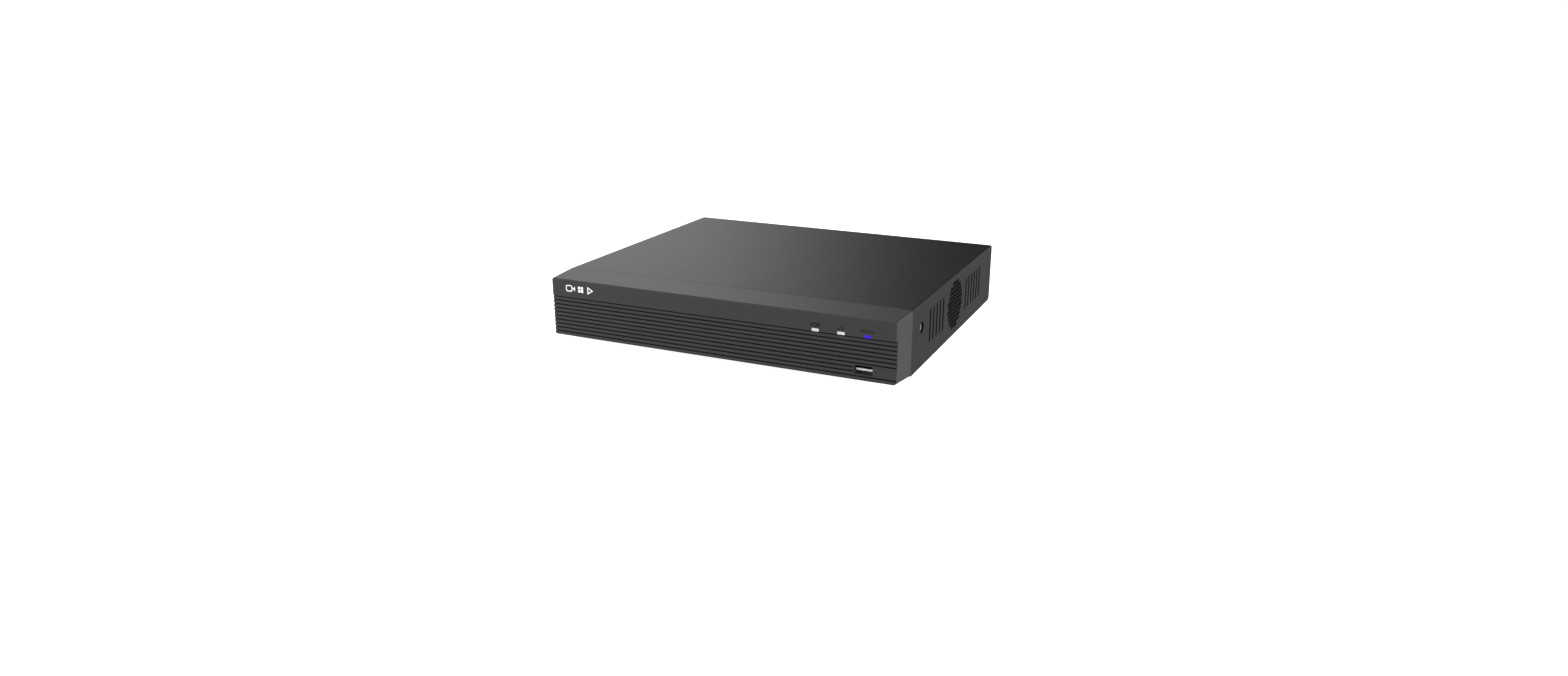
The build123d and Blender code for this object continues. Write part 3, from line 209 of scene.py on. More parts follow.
def mottled(name, dark, light, rough, tones, wear, *layers, **values):
    """Surface whose tone, roughness and bump layers are soft noises, each a (size, detail) pair."""
    look = Surface(name, **values)
    look.colour(look.noise(*tones), dark, light)
    look.rough(look.noise(*wear), *rough)
    return look.bump(*((look.noise(*noise), depth) for noise, depth in layers))


def moulded_black(name, dark, light, rough=(0.40, 0.50), grain=0.3, depth=0.006):
    """Textured moulding: spark-eroded grain with slow changes of tone."""
    layers = (((grain, 4), depth), ((grain * 6, 2), depth * 0.6))
    return mottled(name, dark, light, rough, (9, 3), (4, 3), *layers)


def bezel_moulding():
    """Fine-textured black moulding; the bottoms of its grooves are matt, and painted shade makes them near
    black.
    """
    look = Surface("bezel_moulding", IOR=1.46)
    tone = look.mix(look.noise(30), grey(0.034), grey(0.038))
    deep = look.remap(look.axis("Y"), 0, 1, GROOVE_TOP_Y * MM, (GROOVE_TOP_Y + 0.4) * MM)
    groove_shade_and_matt = look.product(deep, look.under("Y", GROOVE_TOP_Y + 0.95), look.under("Z", GROOVED_BELOW))
    # painted shade: the groove bottoms get a near-black colour
    look.drive("Base Color", look.mix(groove_shade_and_matt, tone, grey(0.004)))
    look.drive("Roughness", look.remap(groove_shade_and_matt, 0.38, 0.8, 0, 1))
    return look.bump((look.noise(0.3, 4), 0.004), (look.noise(1.8), 0.003))


def zinc_values(look):
    """Colour and roughness sockets of spangled zinc plating."""
    spangle = look.cells(7, "Color")
    tone = look.node("ShaderNodeSeparateColor", {"Color": spangle}).outputs[0]
    drawn = look.noise(0.5, 3, stretch=(0.04, 1, 1))
    shade = look.mix(look.remap(tone, 0, 1, 0, 1), (0.50, 0.51, 0.51), (0.60, 0.61, 0.60))
    return shade, look.remap(drawn, 0.28, 0.44)


def zinc_sheet():
    look = Surface("zinc_plated_sheet", Metallic=1.0)
    shade, rough = zinc_values(look)
    look.drive("Base Color", shade)
    look.drive("Roughness", rough)
    return look.bump((look.noise(0.4, 3, stretch=(0.05, 1, 1)), 0.002))


def coated_sheet():
    """Pre-coated tray steel: black paint outside, bare zinc on every inner face."""
    look = Surface("pre_coated_sheet")
    skin = 0.03
    side = look.math("ABSOLUTE", look.axis("X"))
    behind = look.math("GREATER_THAN", look.axis("Y"), (REAR_Y - skin) * MM)
    beside = look.math("GREATER_THAN", side, (TRAY_SIDE_X - skin) * MM)
    painted = look.math("MAXIMUM", look.math("MAXIMUM", behind, look.under("Z", FLOOR_UNDER + skin)), beside)
    shade, rough = zinc_values(look)
    look.drive("Base Color", look.mix(painted, shade, (0.016, 0.016, 0.017)))
    look.drive("Metallic", look.math("SUBTRACT", 1.0, painted))
    painted_rough = look.remap(look.noise(20, 3), 0.34, 0.44)
    softer = look.product(look.math("SUBTRACT", painted_rough, rough), painted)
    look.drive("Roughness", look.math("ADD", rough, softer))
    return look.bump((look.noise(1.2), 0.003), (look.noise(0.3), 0.002))


def plated(name, dark, light, rough=(0.20, 0.27), grain=0.5):
    """Bright plated metal with a slight haze, faint stains and handling marks."""
    return mottled(name, dark, light, rough, (4, 4), (2.5, 4), ((grain, 3), 0.0006), Metallic=0.82)


def brushed(name, dark, light, stretch, rough=(0.22, 0.40)):
    """Metal with a grain along one direction."""
    look = Surface(name, Metallic=1.0)
    grain = look.noise(0.25, 4, stretch=stretch)
    look.colour(grain, dark, light)
    look.rough(grain, *rough)
    return look.bump((grain, 0.002))


def turned_metal(name, dark, light, middle, rough=(0.08, 0.16)):
    """Metal turned or lapped in rings about an upright axis at middle."""
    look = Surface(name, Metallic=1.0)
    inputs = {0: look.place, 1: Vector(middle) * MM}
    offset = look.node("ShaderNodeVectorMath", inputs, operation="SUBTRACT")
    flat = look.node("ShaderNodeVectorMath", {0: offset.outputs[0], 1: (1, 1, 0)}, operation="MULTIPLY")
    radius = look.node("ShaderNodeVectorMath", {0: flat.outputs[0]}, operation="LENGTH").outputs["Value"]
    rings = look.node("ShaderNodeTexNoise", {"W": radius, "Scale": 1 / (0.3 * MM)}, noise_dimensions="1D")
    look.colour(rings.outputs["Fac"], dark, light)
    look.rough(look.noise(8, 3), *rough)
    return look.bump((rings.outputs["Fac"], 0.0008))


def cast_metal(name, dark, light):
    return mottled(name, dark, light, (0.42, 0.60), (6, 4), (2, 3), ((0.9, 4), 0.03), Metallic=1.0)


def solder_mask(name, dark, light, copper):
    """Lacquered board: tracks in blocks of parallel runs, seen through the mask, and plated vias."""
    look = Surface(name, Coat_Weight=0.35, Coat_Roughness=0.12)
    patch = look.node("ShaderNodeSeparateColor", {"Color": look.cells(6.5, "Color", distance="CHEBYCHEV")})
    upright = look.math("GREATER_THAN", patch.outputs[0], 0.5)
    across = look.product(look.axis("X"), look.math("SUBTRACT", 1.0, upright))
    along = look.product(look.axis("Y"), upright)
    run = look.math("ADD", across, along)
    wave = look.math("SINE", look.product(run, 2 * math.pi / (0.62 * MM)))
    covered = look.math("GREATER_THAN", patch.outputs[1], 0.35)
    tracks = look.product(look.remap(wave, 0, 1, 0.1, 0.35), covered)
    look_through = look.mix(tracks, dark, light)
    via = look.math("LESS_THAN", look.cells(2.6), 0.11)
    look.drive("Base Color", look.mix(via, look_through, copper))
    look.drive("Metallic", look.product(via, 0.9))
    look.rough(look.noise(5, 3), 0.24, 0.36)
    return look.bump((tracks, 0.018), (look.noise(1.5), 0.004))


def lit_pipe(name, glow, strength, base):
    """Frosted light pipe, lit across the middle by the LED behind it and dimmer at its rims."""
    look = Surface(name, Roughness=0.28, Emission_Strength=strength)
    frost = look.noise(0.8, 3)
    look.colour(frost, tuple(0.85 * part for part in base), base)
    low, high = corners("status_light_pipe")
    off_middle = look.math("SUBTRACT", look.axis("Z"), (low.z + high.z) / 2 * MM)
    rim = look.remap(look.math("ABSOLUTE", off_middle), 1, 0.12, 1.05 * MM, 1.7 * MM, "SMOOTHSTEP")
    lit = look.product(rim, look.remap(frost, 0.85, 1.0))
    look.drive("Emission Color", look.mix(lit, (0, 0, 0), glow))
    return look.bump((look.noise(0.25, 2), 0.003))


def satin_plastic(name, dark, light, rough=(0.30, 0.42)):
    """Smooth moulded or extruded plastic with slow changes of tone."""
    return mottled(name, dark, light, rough, (5, 3), (2, 3), ((0.6, 3), 0.004))


def ceramic_part(name, dark, light):
    return mottled(name, dark, light, (0.35, 0.55), (0.7, 3), (0.5, 2), ((0.2, 2), 0.004))


def paper(name, dark, light):
    coat = {"Coat_Weight": 0.2, "Coat_Roughness": 0.3}
    return mottled(name, dark, light, (0.38, 0.5), (12, 4), (3, 3), ((0.5, 3), 0.004), **coat)


def printing_ink(name, dark, light):
    return mottled(name, dark, light, (0.42, 0.55), (0.9, 4), (0.6, 2), ((0.15, 2), 0.002))


VIA_GOLD = (0.75, 0.62, 0.34)
DULL_GOLD = (0.70, 0.60, 0.34)
FINISHES = {
    "cover_paint": satin_paint(),
    "tray_steel": coated_sheet(),
    "bracket_steel": zinc_sheet(),
    "bezel_plastic": bezel_moulding(),
    "rubber": moulded_black("foot_rubber", grey(0.012), grey(0.020), (0.62, 0.80), 0.5, 0.012),
    "zinc_fasteners": plated("bright_zinc", (0.60, 0.61, 0.60), (0.74, 0.74, 0.72)),
    "light_pipe_white": lit_pipe("light_pipe_white", (0.93, 0.95, 1.0), 0.30, (0.40, 0.41, 0.42)),
    "light_pipe_blue": lit_pipe("light_pipe_blue", (0.035, 0.004, 0.72), 0.62, (0.02, 0.01, 0.20)),
    "led_package": satin_plastic("led_package", (0.80, 0.78, 0.62), (0.88, 0.86, 0.72)),
    "circuit_board": solder_mask("green_board", (0.006, 0.060, 0.026), (0.020, 0.125, 0.055), VIA_GOLD),
    "disk_board": solder_mask("disk_board", (0.004, 0.035, 0.018), (0.012, 0.075, 0.036), DULL_GOLD),
    "chip_package": moulded_black("epoxy_package", grey(0.016), grey(0.024), (0.45, 0.58), 0.2, 0.006),
    "button_plunger": satin_plastic("plunger_plastic", grey(0.05), grey(0.07)),
    "heatsink": brushed("extruded_aluminium", (0.50, 0.51, 0.53), (0.66, 0.67, 0.69), (1, 0.05, 1)),
    "ferrite": moulded_black("ferrite", grey(0.055), grey(0.085), (0.55, 0.70), 0.6, 0.02),
    "capacitor_can": brushed("capacitor_can", (0.50, 0.51, 0.54), (0.64, 0.65, 0.68), (1, 1, 0.05)),
    "coin_cell": turned_metal("cell_steel", grey(0.50), grey(0.66), centre("coin_cell"), (0.20, 0.32)),
    "black_plastic": moulded_black("black_moulding", grey(0.012), grey(0.018), (0.36, 0.50), 0.4, 0.005),
    "socket_plastic": satin_plastic("natural_nylon", (0.66, 0.64, 0.56), (0.74, 0.72, 0.65)),
    "display_blue": satin_plastic("display_blue", (0.010, 0.040, 0.26), (0.016, 0.058, 0.34)),
    "terminal_green": satin_plastic("terminal_green", (0.010, 0.16, 0.055), (0.016, 0.22, 0.08)),
    "connector_plating": plated("nickel_plating", (0.58, 0.575, 0.56), (0.70, 0.70, 0.68)),
    "jack_insulator": satin_plastic("jack_insulator", (0.70, 0.70, 0.66), (0.78, 0.78, 0.74)),
    "contact_brass": plated("gold_flash", (0.68, 0.46, 0.16), (0.82, 0.60, 0.26), (0.14, 0.26)),
    "disk_case": cast_metal("cast_aluminium", (0.20, 0.205, 0.21), (0.30, 0.305, 0.31)),
    "disk_lid": brushed("brushed_lid", (0.46, 0.465, 0.47), (0.60, 0.605, 0.61), (0.03, 1, 1)),
    "disk_mirror": turned_metal("lapped_disk", grey(0.72), grey(0.84), centre("hdd_platters"), (0.03, 0.08)),
    "disk_arm": brushed("machined_arm", (0.58, 0.58, 0.59), (0.70, 0.70, 0.71), (0.1, 1, 1)),
    "data_cable": satin_plastic("red_jacket", (0.28, 0.008, 0.008), (0.40, 0.014, 0.012)),
    "black_leads": satin_plastic("black_jacket", grey(0.012), grey(0.020), (0.40, 0.52)),
}
WHITE_INK = printing_ink("white_ink", grey(0.74), grey(0.88))
DIM_INK = printing_ink("dim_ink", grey(0.010), grey(0.014))
GREY_INK = printing_ink("grey_ink", grey(0.22), grey(0.30))
LABEL = paper("paper_label", (0.70, 0.70, 0.68), (0.78, 0.78, 0.76))
CERAMIC = ceramic_part("ceramic_capacitor", (0.30, 0.20, 0.11), (0.40, 0.28, 0.16))
RESISTOR = ceramic_part("resistor_film", grey(0.018), grey(0.030))
SOLDER = plated("solder", (0.62, 0.62, 0.60), (0.76, 0.76, 0.74), (0.22, 0.38), 0.3)
JACKETS = {
    name: satin_plastic(f"{name}_wire", dark, light)
    for name, dark, light in (
        ("red", (0.38, 0.010, 0.008), (0.50, 0.018, 0.014)),
        ("yellow", (0.62, 0.42, 0.010), (0.74, 0.52, 0.020)),
        ("black", grey(0.010), grey(0.016)),
        ("white", grey(0.62), grey(0.72)),
        ("blue", (0.010, 0.04, 0.30), (0.016, 0.06, 0.40)),
    )
}
LINK_GREEN = satin_plastic("link_window_green", (0.05, 0.28, 0.04), (0.08, 0.38, 0.06))
LINK_AMBER = satin_plastic("link_window_amber", (0.55, 0.26, 0.02), (0.68, 0.34, 0.04))

for node in NODES.values():
    slot_name = node.data.materials[0].name
    node.data.materials[0] = FINISHES[slot_name]
# the front USB tongue gets painted shade on all but its front edge
NODES["front_usb_tongue"].data.materials[0] = two_tone_tongue()


# ---- shapes
class Shape:
    """Points and faces of one small solid, in millimetres."""

    def __init__(self, points, faces):
        self.points = [Vector(point) for point in points]
        self.faces = faces


def block(x, y, z, bevel=0.0):
    """Block of that size standing on the origin, its edges rounded."""
    bm = bmesh.new()
    bmesh.ops.create_cube(bm, size=1)
    for vert in bm.verts:
        vert.co = Vector((vert.co.x * x, vert.co.y * y, (vert.co.z + 0.5) * z))
    if bevel:
        bmesh.ops.bevel(bm, geom=bm.edges[:], offset=bevel, segments=2, profile=0.5, affect="EDGES")
    bm.verts.index_update()
    shape = Shape([v.co for v in bm.verts], [[v.index for v in face.verts] for face in bm.faces])
    bm.free()
    return shape


def shape_of(curve):
    """Shape of a curve or a text, which is then removed."""
    holder = bpy.data.objects.new(curve.name, curve)
    mesh = bpy.data.meshes.new_from_object(holder)
    shape = Shape([v.co for v in mesh.vertices], [list(face.vertices) for face in mesh.polygons])
    bpy.data.objects.remove(holder)
    bpy.data.meshes.remove(mesh)
    bpy.data.curves.remove(curve)
    return shape


def turned(profile, sides=24):
    """Solid of revolution about Z. The profile is (radius, height) pairs, from bottom to top.

    The profile of a ring comes back to its first pair.
    """
    hollow = profile[0] == profile[-1]
    points = []
    rings = []
    for radius, height in profile[:-1] if hollow else profile:
        if radius == 0:
            rings.append([len(points)] * sides)
            points.append((0, 0, height))
            continue
        rings.append([len(points) + i for i in range(sides)])
        for i in range(sides):
            angle = 2 * math.pi * i / sides
            points.append((radius * math.cos(angle), radius * math.sin(angle), height))
    if hollow:
        rings.append(rings[0])
    faces = []
    for lower, upper in zip(rings, rings[1:]):
        for i in range(sides):
            j = (i + 1) % sides
            faces.append(list(dict.fromkeys((lower[i], lower[j], upper[j], upper[i]))))
    return Shape(points, faces)


def prism(outline, height):
    """Flat outline, drawn counter-clockwise, extruded upwards from the origin."""
    count = len(outline)
    points = [(x, y, z) for z in (0, height) for x, y in outline]
    faces = [list(range(count))[::-1], list(range(count, 2 * count))]
    for i in range(count):
        j = (i + 1) % count
        faces.append([i, j, count + j, count + i])
    return Shape(points, faces)


def frame_plate(outline, hole, height):
    """Plate with a hole, each of four corners drawn counter-clockwise."""
    points = [(x, y, z) for z in (0, height) for x, y in outline + hole]
    faces = []
    for i in range(4):
        j = (i + 1) % 4
        faces += [[i, 4 + i, 4 + j, j], [8 + i, 8 + j, 12 + j, 12 + i]]
        faces += [[i, j, 8 + j, 8 + i], [4 + j, 4 + i, 12 + i, 12 + j]]
    return Shape(points, faces)


def ribbon(points, width, height, closed=False):
    """Flat strip of even width that follows points, with mitred corners."""
    line = [Vector(point) for point in points]
    count = len(line)
    left = []
    right = []
    for i, point in enumerate(line):
        before = line[i - 1] if i or closed else None
        after = line[(i + 1) % count] if i < count - 1 or closed else None
        arriving = (point - before).normalized() if before else (after - point).normalized()
        leaving = (after - point).normalized() if after else arriving
        along = (arriving + leaving).normalized()
        side = Vector((-along.y, along.x))
        reach = width / 2 / max(0.35, along.dot(leaving))
        left.append(point + side * reach)
        right.append(point - side * reach)
    points = [(p.x, p.y, z) for z in (0, height) for p in left + right]
    faces = []
    for i in range(count if closed else count - 1):
        j = (i + 1) % count
        a, b, c, d = i, j, count + j, count + i
        top = 2 * count
        faces += [[a, b, c, d], [top + d, top + c, top + b, top + a]]
        faces += [[a, top + a, top + b, b], [d, c, top + c, top + d]]
    if not closed:
        last = count - 1
        faces += [[0, count, 3 * count, 2 * count]]
        faces += [[last, 2 * count + last, 3 * count + last, count + last]]
    return Shape(points, faces)


def tube(points, radius, sides=10):
    """Round wire along points, closed at both ends."""
    line = [Vector(point) for point in points]
    rings = []
    side = None
    for i, point in enumerate(line):
        along = (line[min(i + 1, len(line) - 1)] - line[max(i - 1, 0)]).normalized()
        if side is None:
            side = along.orthogonal().normalized()
        side = (side - along * side.dot(along)).normalized()
        other = along.cross(side)
        turns = [2 * math.pi * k / sides for k in range(sides)]
        rings.append([point + radius * (side * math.cos(t) + other * math.sin(t)) for t in turns])
    flat = [point for ring in rings for point in ring]
    faces = [list(range(sides))[::-1], list(range(len(flat) - sides, len(flat)))]
    for i in range(len(rings) - 1):
        for k in range(sides):
            m = (k + 1) % sides
            faces.append([i * sides + k, i * sides + m, (i + 1) * sides + m, (i + 1) * sides + k])
    return Shape(flat, faces)


def arc(radius, start, end, x=0.0, y=0.0, steps=14):
    """Points on a circle from start to end, in degrees."""
    turns = [math.radians(start + (end - start) * i / steps) for i in range(steps + 1)]
    return [(x + radius * math.cos(t), y + radius * math.sin(t)) for t in turns]


def circle(radius, x=0.0, y=0.0, steps=24):
    return arc(radius, 0, 360, x, y, steps)[:-1]


def rounded(width, height, corner, x=0.0, y=0.0):
    """Outline of a rounded rectangle, counter-clockwise."""
    w = width / 2 - corner
    h = height / 2 - corner
    outline = []
    for sign_x, sign_y, start in ((1, 1, 0), (-1, 1, 90), (-1, -1, 180), (1, -1, 270)):
        outline += arc(corner, start, start + 90, x + sign_x * w, y + sign_y * h, 4)
    return outline


def move(x, y, z):
    return Matrix.Translation((x, y, z))


def spin(degrees, axis="Z"):
    return Matrix.Rotation(math.radians(degrees), 4, axis)


def plane(x, y, z, across, up):
    """Drawing plane at a point: local X runs along across, local Y along up, and local Z outwards."""
    out = Vector(across).cross(Vector(up))
    turn = Matrix((Vector(across), Vector(up), out)).transposed().to_4x4()
    return move(x, y, z) @ turn


def on_front(x, z):
    return plane(x, FACE_Y, z, (1, 0, 0), (0, 0, 1))


def on_rear(x, z, y=REAR_Y):
    return plane(x, y, z, (-1, 0, 0), (0, 0, 1))


def on_board(x, y, turn=0):
    return move(x, y, BOARD_TOP) @ spin(turn)


def place_in_scene(name, data):
    made = bpy.data.objects.new(name, data)
    bpy.context.scene.collection.objects.link(made)
    return made


class Piece:
    """One object in the making. Shapes are added to it, each with one of its materials.

    A piece given no materials has its slot's own finish.
    """

    def __init__(self, name, slot, *materials):
        self.name = name
        self.slot = slot
        self.materials = materials or (FINISHES[slot],)
        self.points = []
        self.faces = []
        self.indices = []

    def add(self, shape, place=None, material=0):
        start = len(self.points)
        place = place or Matrix()
        self.points += [place @ point * MM for point in shape.points]
        self.faces += [[start + i for i in face] for face in shape.faces]
        self.indices += [material] * len(shape.faces)

    def finish(self):
        mesh = bpy.data.meshes.new(self.name)
        mesh.from_pydata(self.points, [], self.faces)
        for material in self.materials:
            mesh.materials.append(material)
        mesh.polygons.foreach_set("material_index", self.indices)
        mesh.shade_smooth()
        mesh.set_sharp_from_angle(angle=math.radians(38))
        made = place_in_scene(self.name, mesh)
        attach(made, "chassis")
        return made


# ---- pictograms
class Pen:
    """Draws the lines and filled shapes of one sign on a plane, in units of the sign's size."""

    def __init__(self, piece, place, size, width):
        self.piece = piece
        self.place = place
        self.size = size
        self.width = width

    def sized(self, points):
        return [(x * self.size, y * self.size) for x, y in points]

    def line(self, points, closed=False):
        self.piece.add(ribbon(self.sized(points), self.width, INK, closed), self.place)

    def fill(self, outline):
        self.piece.add(prism(self.sized(outline), INK), self.place)


def camera_sign(pen):
    """Camera body with its lens hood."""
    pen.line(rounded(1.15, 1, 0.2, -0.3), closed=True)
    pen.fill([(0.42, 0), (0.92, -0.42), (0.92, 0.42)])


def grid_sign(pen):
    """Four picture tiles."""
    tile = 0.5 - 0.55 * pen.width / pen.size
    for x in (-0.25, 0.25):
        for y in (-0.25, 0.25):
            pen.fill(rounded(tile, tile, 0.06, x, y))


def play_sign(pen):
    pen.line([(-0.36, -0.46), (0.46, 0), (-0.36, 0.46)], closed=True)


def network_sign(pen):
    """One box joined to two."""
    for x, y in ((0, 0.34), (-0.5, -0.34), (0.5, -0.34)):
        pen.fill(rounded(0.42, 0.28, 0.056, x, y))
    pen.line([(0, 0.2), (0, 0)])
    pen.line([(-0.5, -0.2), (-0.5, 0), (0.5, 0), (0.5, -0.2)])


def speaker_sign(pen):
    pen.fill([(-0.5, -0.18), (-0.25, -0.18), (0, -0.42), (0, 0.42), (-0.25, 0.18), (-0.5, 0.18)])
    for radius in (0.28, 0.5):
        pen.line(arc(radius, -48, 48, 0, 0, 8))


def microphone_sign(pen):
    pen.fill(rounded(0.32, 0.62, 0.15, 0, 0.18))
    pen.line(arc(0.32, 185, 355, 0, 0.08, 10))
    pen.line([(0, -0.26), (0, -0.48)])


def display_sign(pen):
    pen.line(rounded(1.2, 0.78, 0.08, 0, 0.12), closed=True)
    pen.line([(0, -0.28), (0, -0.46)])
    pen.line([(-0.3, -0.48), (0.3, -0.48)])


def plug_sign(pen):
    """Data plug seen from the side."""
    pen.line(rounded(0.8, 0.62, 0.08, -0.2), closed=True)
    pen.line(rounded(0.42, 0.4, 0.04, 0.46), closed=True)


def bell_sign(pen):
    pen.fill([(0.4, -0.26), *arc(0.28, 0, 180, 0, 0.14, 10), (-0.4, -0.26)])
    pen.fill(circle(0.11, 0, -0.4, 12))


def direct_current_sign(pen):
    """Full line over a dashed one."""
    pen.line([(-0.5, 0.16), (0.5, 0.16)])
    for x in (-0.38, 0, 0.38):
        pen.line([(x - 0.12, -0.16), (x + 0.12, -0.16)])


def earth_sign(pen):
    pen.line([(0, 0.5), (0, 0.05)])
    for half, y in ((0.42, 0.05), (0.27, -0.14), (0.12, -0.33)):
        pen.line([(-half, y), (half, y)])


def numeral(piece, place, digit):
    """A figure from Blender's own plain font, centred on the place."""
    text = bpy.data.curves.new("numeral", "FONT")
    text.body = str(digit)
    text.size = NUMERAL_SIZE
    text.align_x = "CENTER"
    text.align_y = "CENTER"
    text.extrude = INK / 2
    piece.add(shape_of(text), place @ move(0, 0, INK / 2))


# ---- front
def front_function_signs():
    """White row of plain pictograms at the left of the smooth band."""
    row = Piece("front_function_signs", "bezel_plastic", WHITE_INK)
    for sign, x, size in ((camera_sign, -112.6, 4.0), (grid_sign, -104.2, 4.6), (play_sign, -96.6, 4.6)):
        sign(Pen(row, on_front(x, 40.4), size, 0.72))
    row.finish()


def light_signs():
    """Dim sign above each front light: a drive, a network branch, and a switch between two dashes."""
    signs = Piece("light_signs", "bezel_plastic", DIM_INK)
    z = corners("status_light_pipe")[1].z + 1.7
    x = centre("status_light_pipe").x
    outline = [(-3.2, -1.4), (3.2, -1.4), (3.2, 1.4), (-3.2, 1.4)]
    slot = [(-2.2, -0.5), (1.0, -0.5), (1.0, 0.2), (-2.2, 0.2)]
    signs.add(frame_plate(outline, slot, INK), on_front(x, z))
    network_sign(Pen(signs, on_front(centre("network_light_pipe").x, z), 3.0, 0.5))
    switch = on_front(centre("power_light_pipe").x, z)
    Pen(signs, switch, 1, 0.55).line(circle(0.95), closed=True)
    for side in (-1, 1):
        Pen(signs, switch, 1, 1.3).line([(side * 1.9, 0), (side * 5.0, 0)])
    signs.finish()


def contact_strips(name, x, y, z, count, pitch, width, length, thick):
    """Row of gold contact strips that lie on a socket's tongue."""
    strips = Piece(name, "contact_brass")
    strip = block(width, length, thick, thick * 0.3)
    for index in range(count):
        strips.add(strip, move(x + (index - (count - 1) / 2) * pitch, y, z))
    strips.finish()


def socket_contacts():
    """Contacts on the tongues of both USB sockets and of the digital video socket."""
    for end in ("front", "rear"):
        tongue = centre(f"{end}_usb_tongue")
        low, high = corners(f"{end}_usb_tongue")
        y = low.y + 4.6 if end == "front" else high.y - 4.6
        z = tongue.z - USB_TONGUE / 2 - 0.12
        contact_strips(f"{end}_usb_contacts", tongue.x, y, z, 4, 2.3, 1.1, 6.4, 0.12)
    x = centre("hdmi_tongue").x
    y = corners("hdmi_tongue")[1].y - 3.2
    z = MOUNTS["video_socket"].z + 1.1
    contact_strips("video_socket_contacts", x, y, z, 10, 1.0, 0.34, 5.4, 0.1)


# ---- rear
def rear_signs():
    """White pictograms and channel numerals printed on the rear wall."""
    signs = Piece("rear_signs", "tray_steel", WHITE_INK)
    jacks = [MOUNTS[f"camera_jack_{index}"] for index in range(1, 9)]
    middle_z = (min(jack.z for jack in jacks) + max(jack.z for jack in jacks)) / 2
    for index, jack in enumerate(jacks):
        side = 1 if jack.z > middle_z else -1
        x = jack.x + JACK_PITCH / 2 + side * 1.9
        numeral(signs, on_rear(x, middle_z - side * 1.0), index + 1)
        # an arrowhead points at the jack, and a size of -1 turns it over
        Pen(signs, on_rear(x, middle_z), side, 0).fill([(0.7, 0.2), (0, 1.2), (-0.7, 0.2)])
    places = (
        (camera_sign, "camera_jack_1", 7.3, 2.6),
        (display_sign, "video_socket", 21.2, 3.6),
        (display_sign, "display_socket", 27.6, 3.6),
        (network_sign, "network_socket", 28.0, 3.6),
        (plug_sign, "rear_usb_socket", 22.6, 3.6),
        (bell_sign, "alarm_terminals", 23.4, 3.6),
        (direct_current_sign, "power_pin", 26.0, 4.2),
        (earth_sign, "earth_point", 21.4, 4.2),
    )
    for sign, mount, z, size in places:
        sign(Pen(signs, on_rear(MOUNTS[mount].x, z), size, 0.4))
    beside_audio = -40.0
    for sign, level, size in ((microphone_sign, "lower", 4.2), (speaker_sign, "upper", 4.0)):
        z = MOUNTS[f"audio_jack_{level}"].z
        sign(Pen(signs, on_rear(beside_audio, z), size, 0.4))
    signs.finish()


def network_socket_insides():
    """Dark liner, eight contact wires and the two link windows of the network socket."""
    low, high = corners("network_jack")
    x = (low.x + high.x) / 2
    mouth_low = BOARD_TOP + 3.4
    mouth_high = mouth_low + 8.0
    back = high.y - 13.6
    liner = Piece("network_socket_liner", "black_plastic", FINISHES["black_plastic"], LINK_GREEN, LINK_AMBER)
    skin = 0.25
    depth = 12.6
    middle = back + depth / 2 + 0.15
    height = mouth_high - mouth_low - 0.1

    def wall(width, rise, aside, z):
        liner.add(block(width, depth, rise, 0.05), move(x + aside, middle, z))

    wall(11.2, skin, 0, mouth_high - skin - 0.02)
    liner.add(block(11.2, skin, height, 0.05), move(x, back + 0.3, mouth_low + 0.05))
    for side in (-1, 1):
        wall(skin, height, side * (5.9 - skin / 2 - 0.02), mouth_low + 0.05)
        wall(2.5, skin, side * 4.5, mouth_low + 0.02)
    for half, floor_z, rise in ((2.0, 12.1, 0.8), (3.1, 12.9, 1.4)):
        wall(2 * half, skin, 0, floor_z)
        for side in (-1, 1):
            wall(skin, rise, side * (half - skin / 2 - 0.02), floor_z)
    window = prism(rounded(2.4, 1.1, 0.2), 0.2)
    liner.add(window, on_rear(x - 4.4, high.z - 1.05, high.y - 0.1), 1)
    liner.add(window, on_rear(x + 4.4, high.z - 1.05, high.y - 0.1), 2)
    liner.finish()
    wires = Piece("network_socket_wires", "contact_brass")
    for index in range(8):
        wx = x + (index - 3.5) * 1.02
        route = [(wx, high.y - 1.6, mouth_high - 0.55), (wx, high.y - 4.2, mouth_high - 0.7)]
        route += [(wx, high.y - 9.4, mouth_high - 3.2), (wx, back + 0.6, mouth_high - 3.5)]
        wires.add(tube(route, 0.17, 8))
    wires.finish()


def display_socket_contacts():
    """Gold receptacles in the fifteen holes of the display socket."""
    socket = MOUNTS["display_socket"]
    contacts = Piece("display_socket_contacts", "contact_brass")
    ring = turned([(0.30, 0.0), (0.47, 0.0), (0.47, 0.9), (0.34, 0.9), (0.30, 0.0)], 14)
    nose_y = corners("vga_insulator")[1].y
    for row in (-1, 0, 1):
        for column in range(5):
            x = socket.x + (column - 2) * 2.3 - row * 0.5
            contacts.add(ring, on_rear(x, socket.z + row * 2.0, nose_y - 1.1))
    contacts.finish()


def terminal_screws():
    """Slotted clamp screws in the wells of the alarm terminals, and the cages behind the entries."""
    block_x = MOUNTS["alarm_terminals"].x
    well_y = REAR_Y - 5.0
    screws = Piece("terminal_screws", "zinc_fasteners")
    head = turned([(0, 0), (1.22, 0), (1.22, 1.2), (1.02, 1.45), (0, 1.45)], 20)
    slot = block(2.0, 0.34, 0.12)
    cage = block(2.2, 0.4, 2.4, 0.08)
    for index in range(4):
        x = block_x + (index - 1.5) * 3.5
        screws.add(head, move(x, well_y, BOARD_TOP + 5.1))
        screws.add(slot, move(x, well_y, BOARD_TOP + 6.5) @ spin(25 + 40 * index))
        screws.add(cage, move(x, REAR_Y - 3.6, BOARD_TOP + 1.8))
    screws.finish()


def power_socket_spring():
    """Sprung side contact at the bottom of the power socket's bore."""
    pin = MOUNTS["power_pin"]
    spring = Piece("power_socket_spring", "connector_plating")
    mouth = corners("dc_jack_housing")[1].y
    leaf = block(1.8, 6.4, 0.2, 0.06)
    spring.add(leaf, move(pin.x, mouth - 4.4, pin.z - 2.95) @ spin(4, "X"))
    spring.finish()


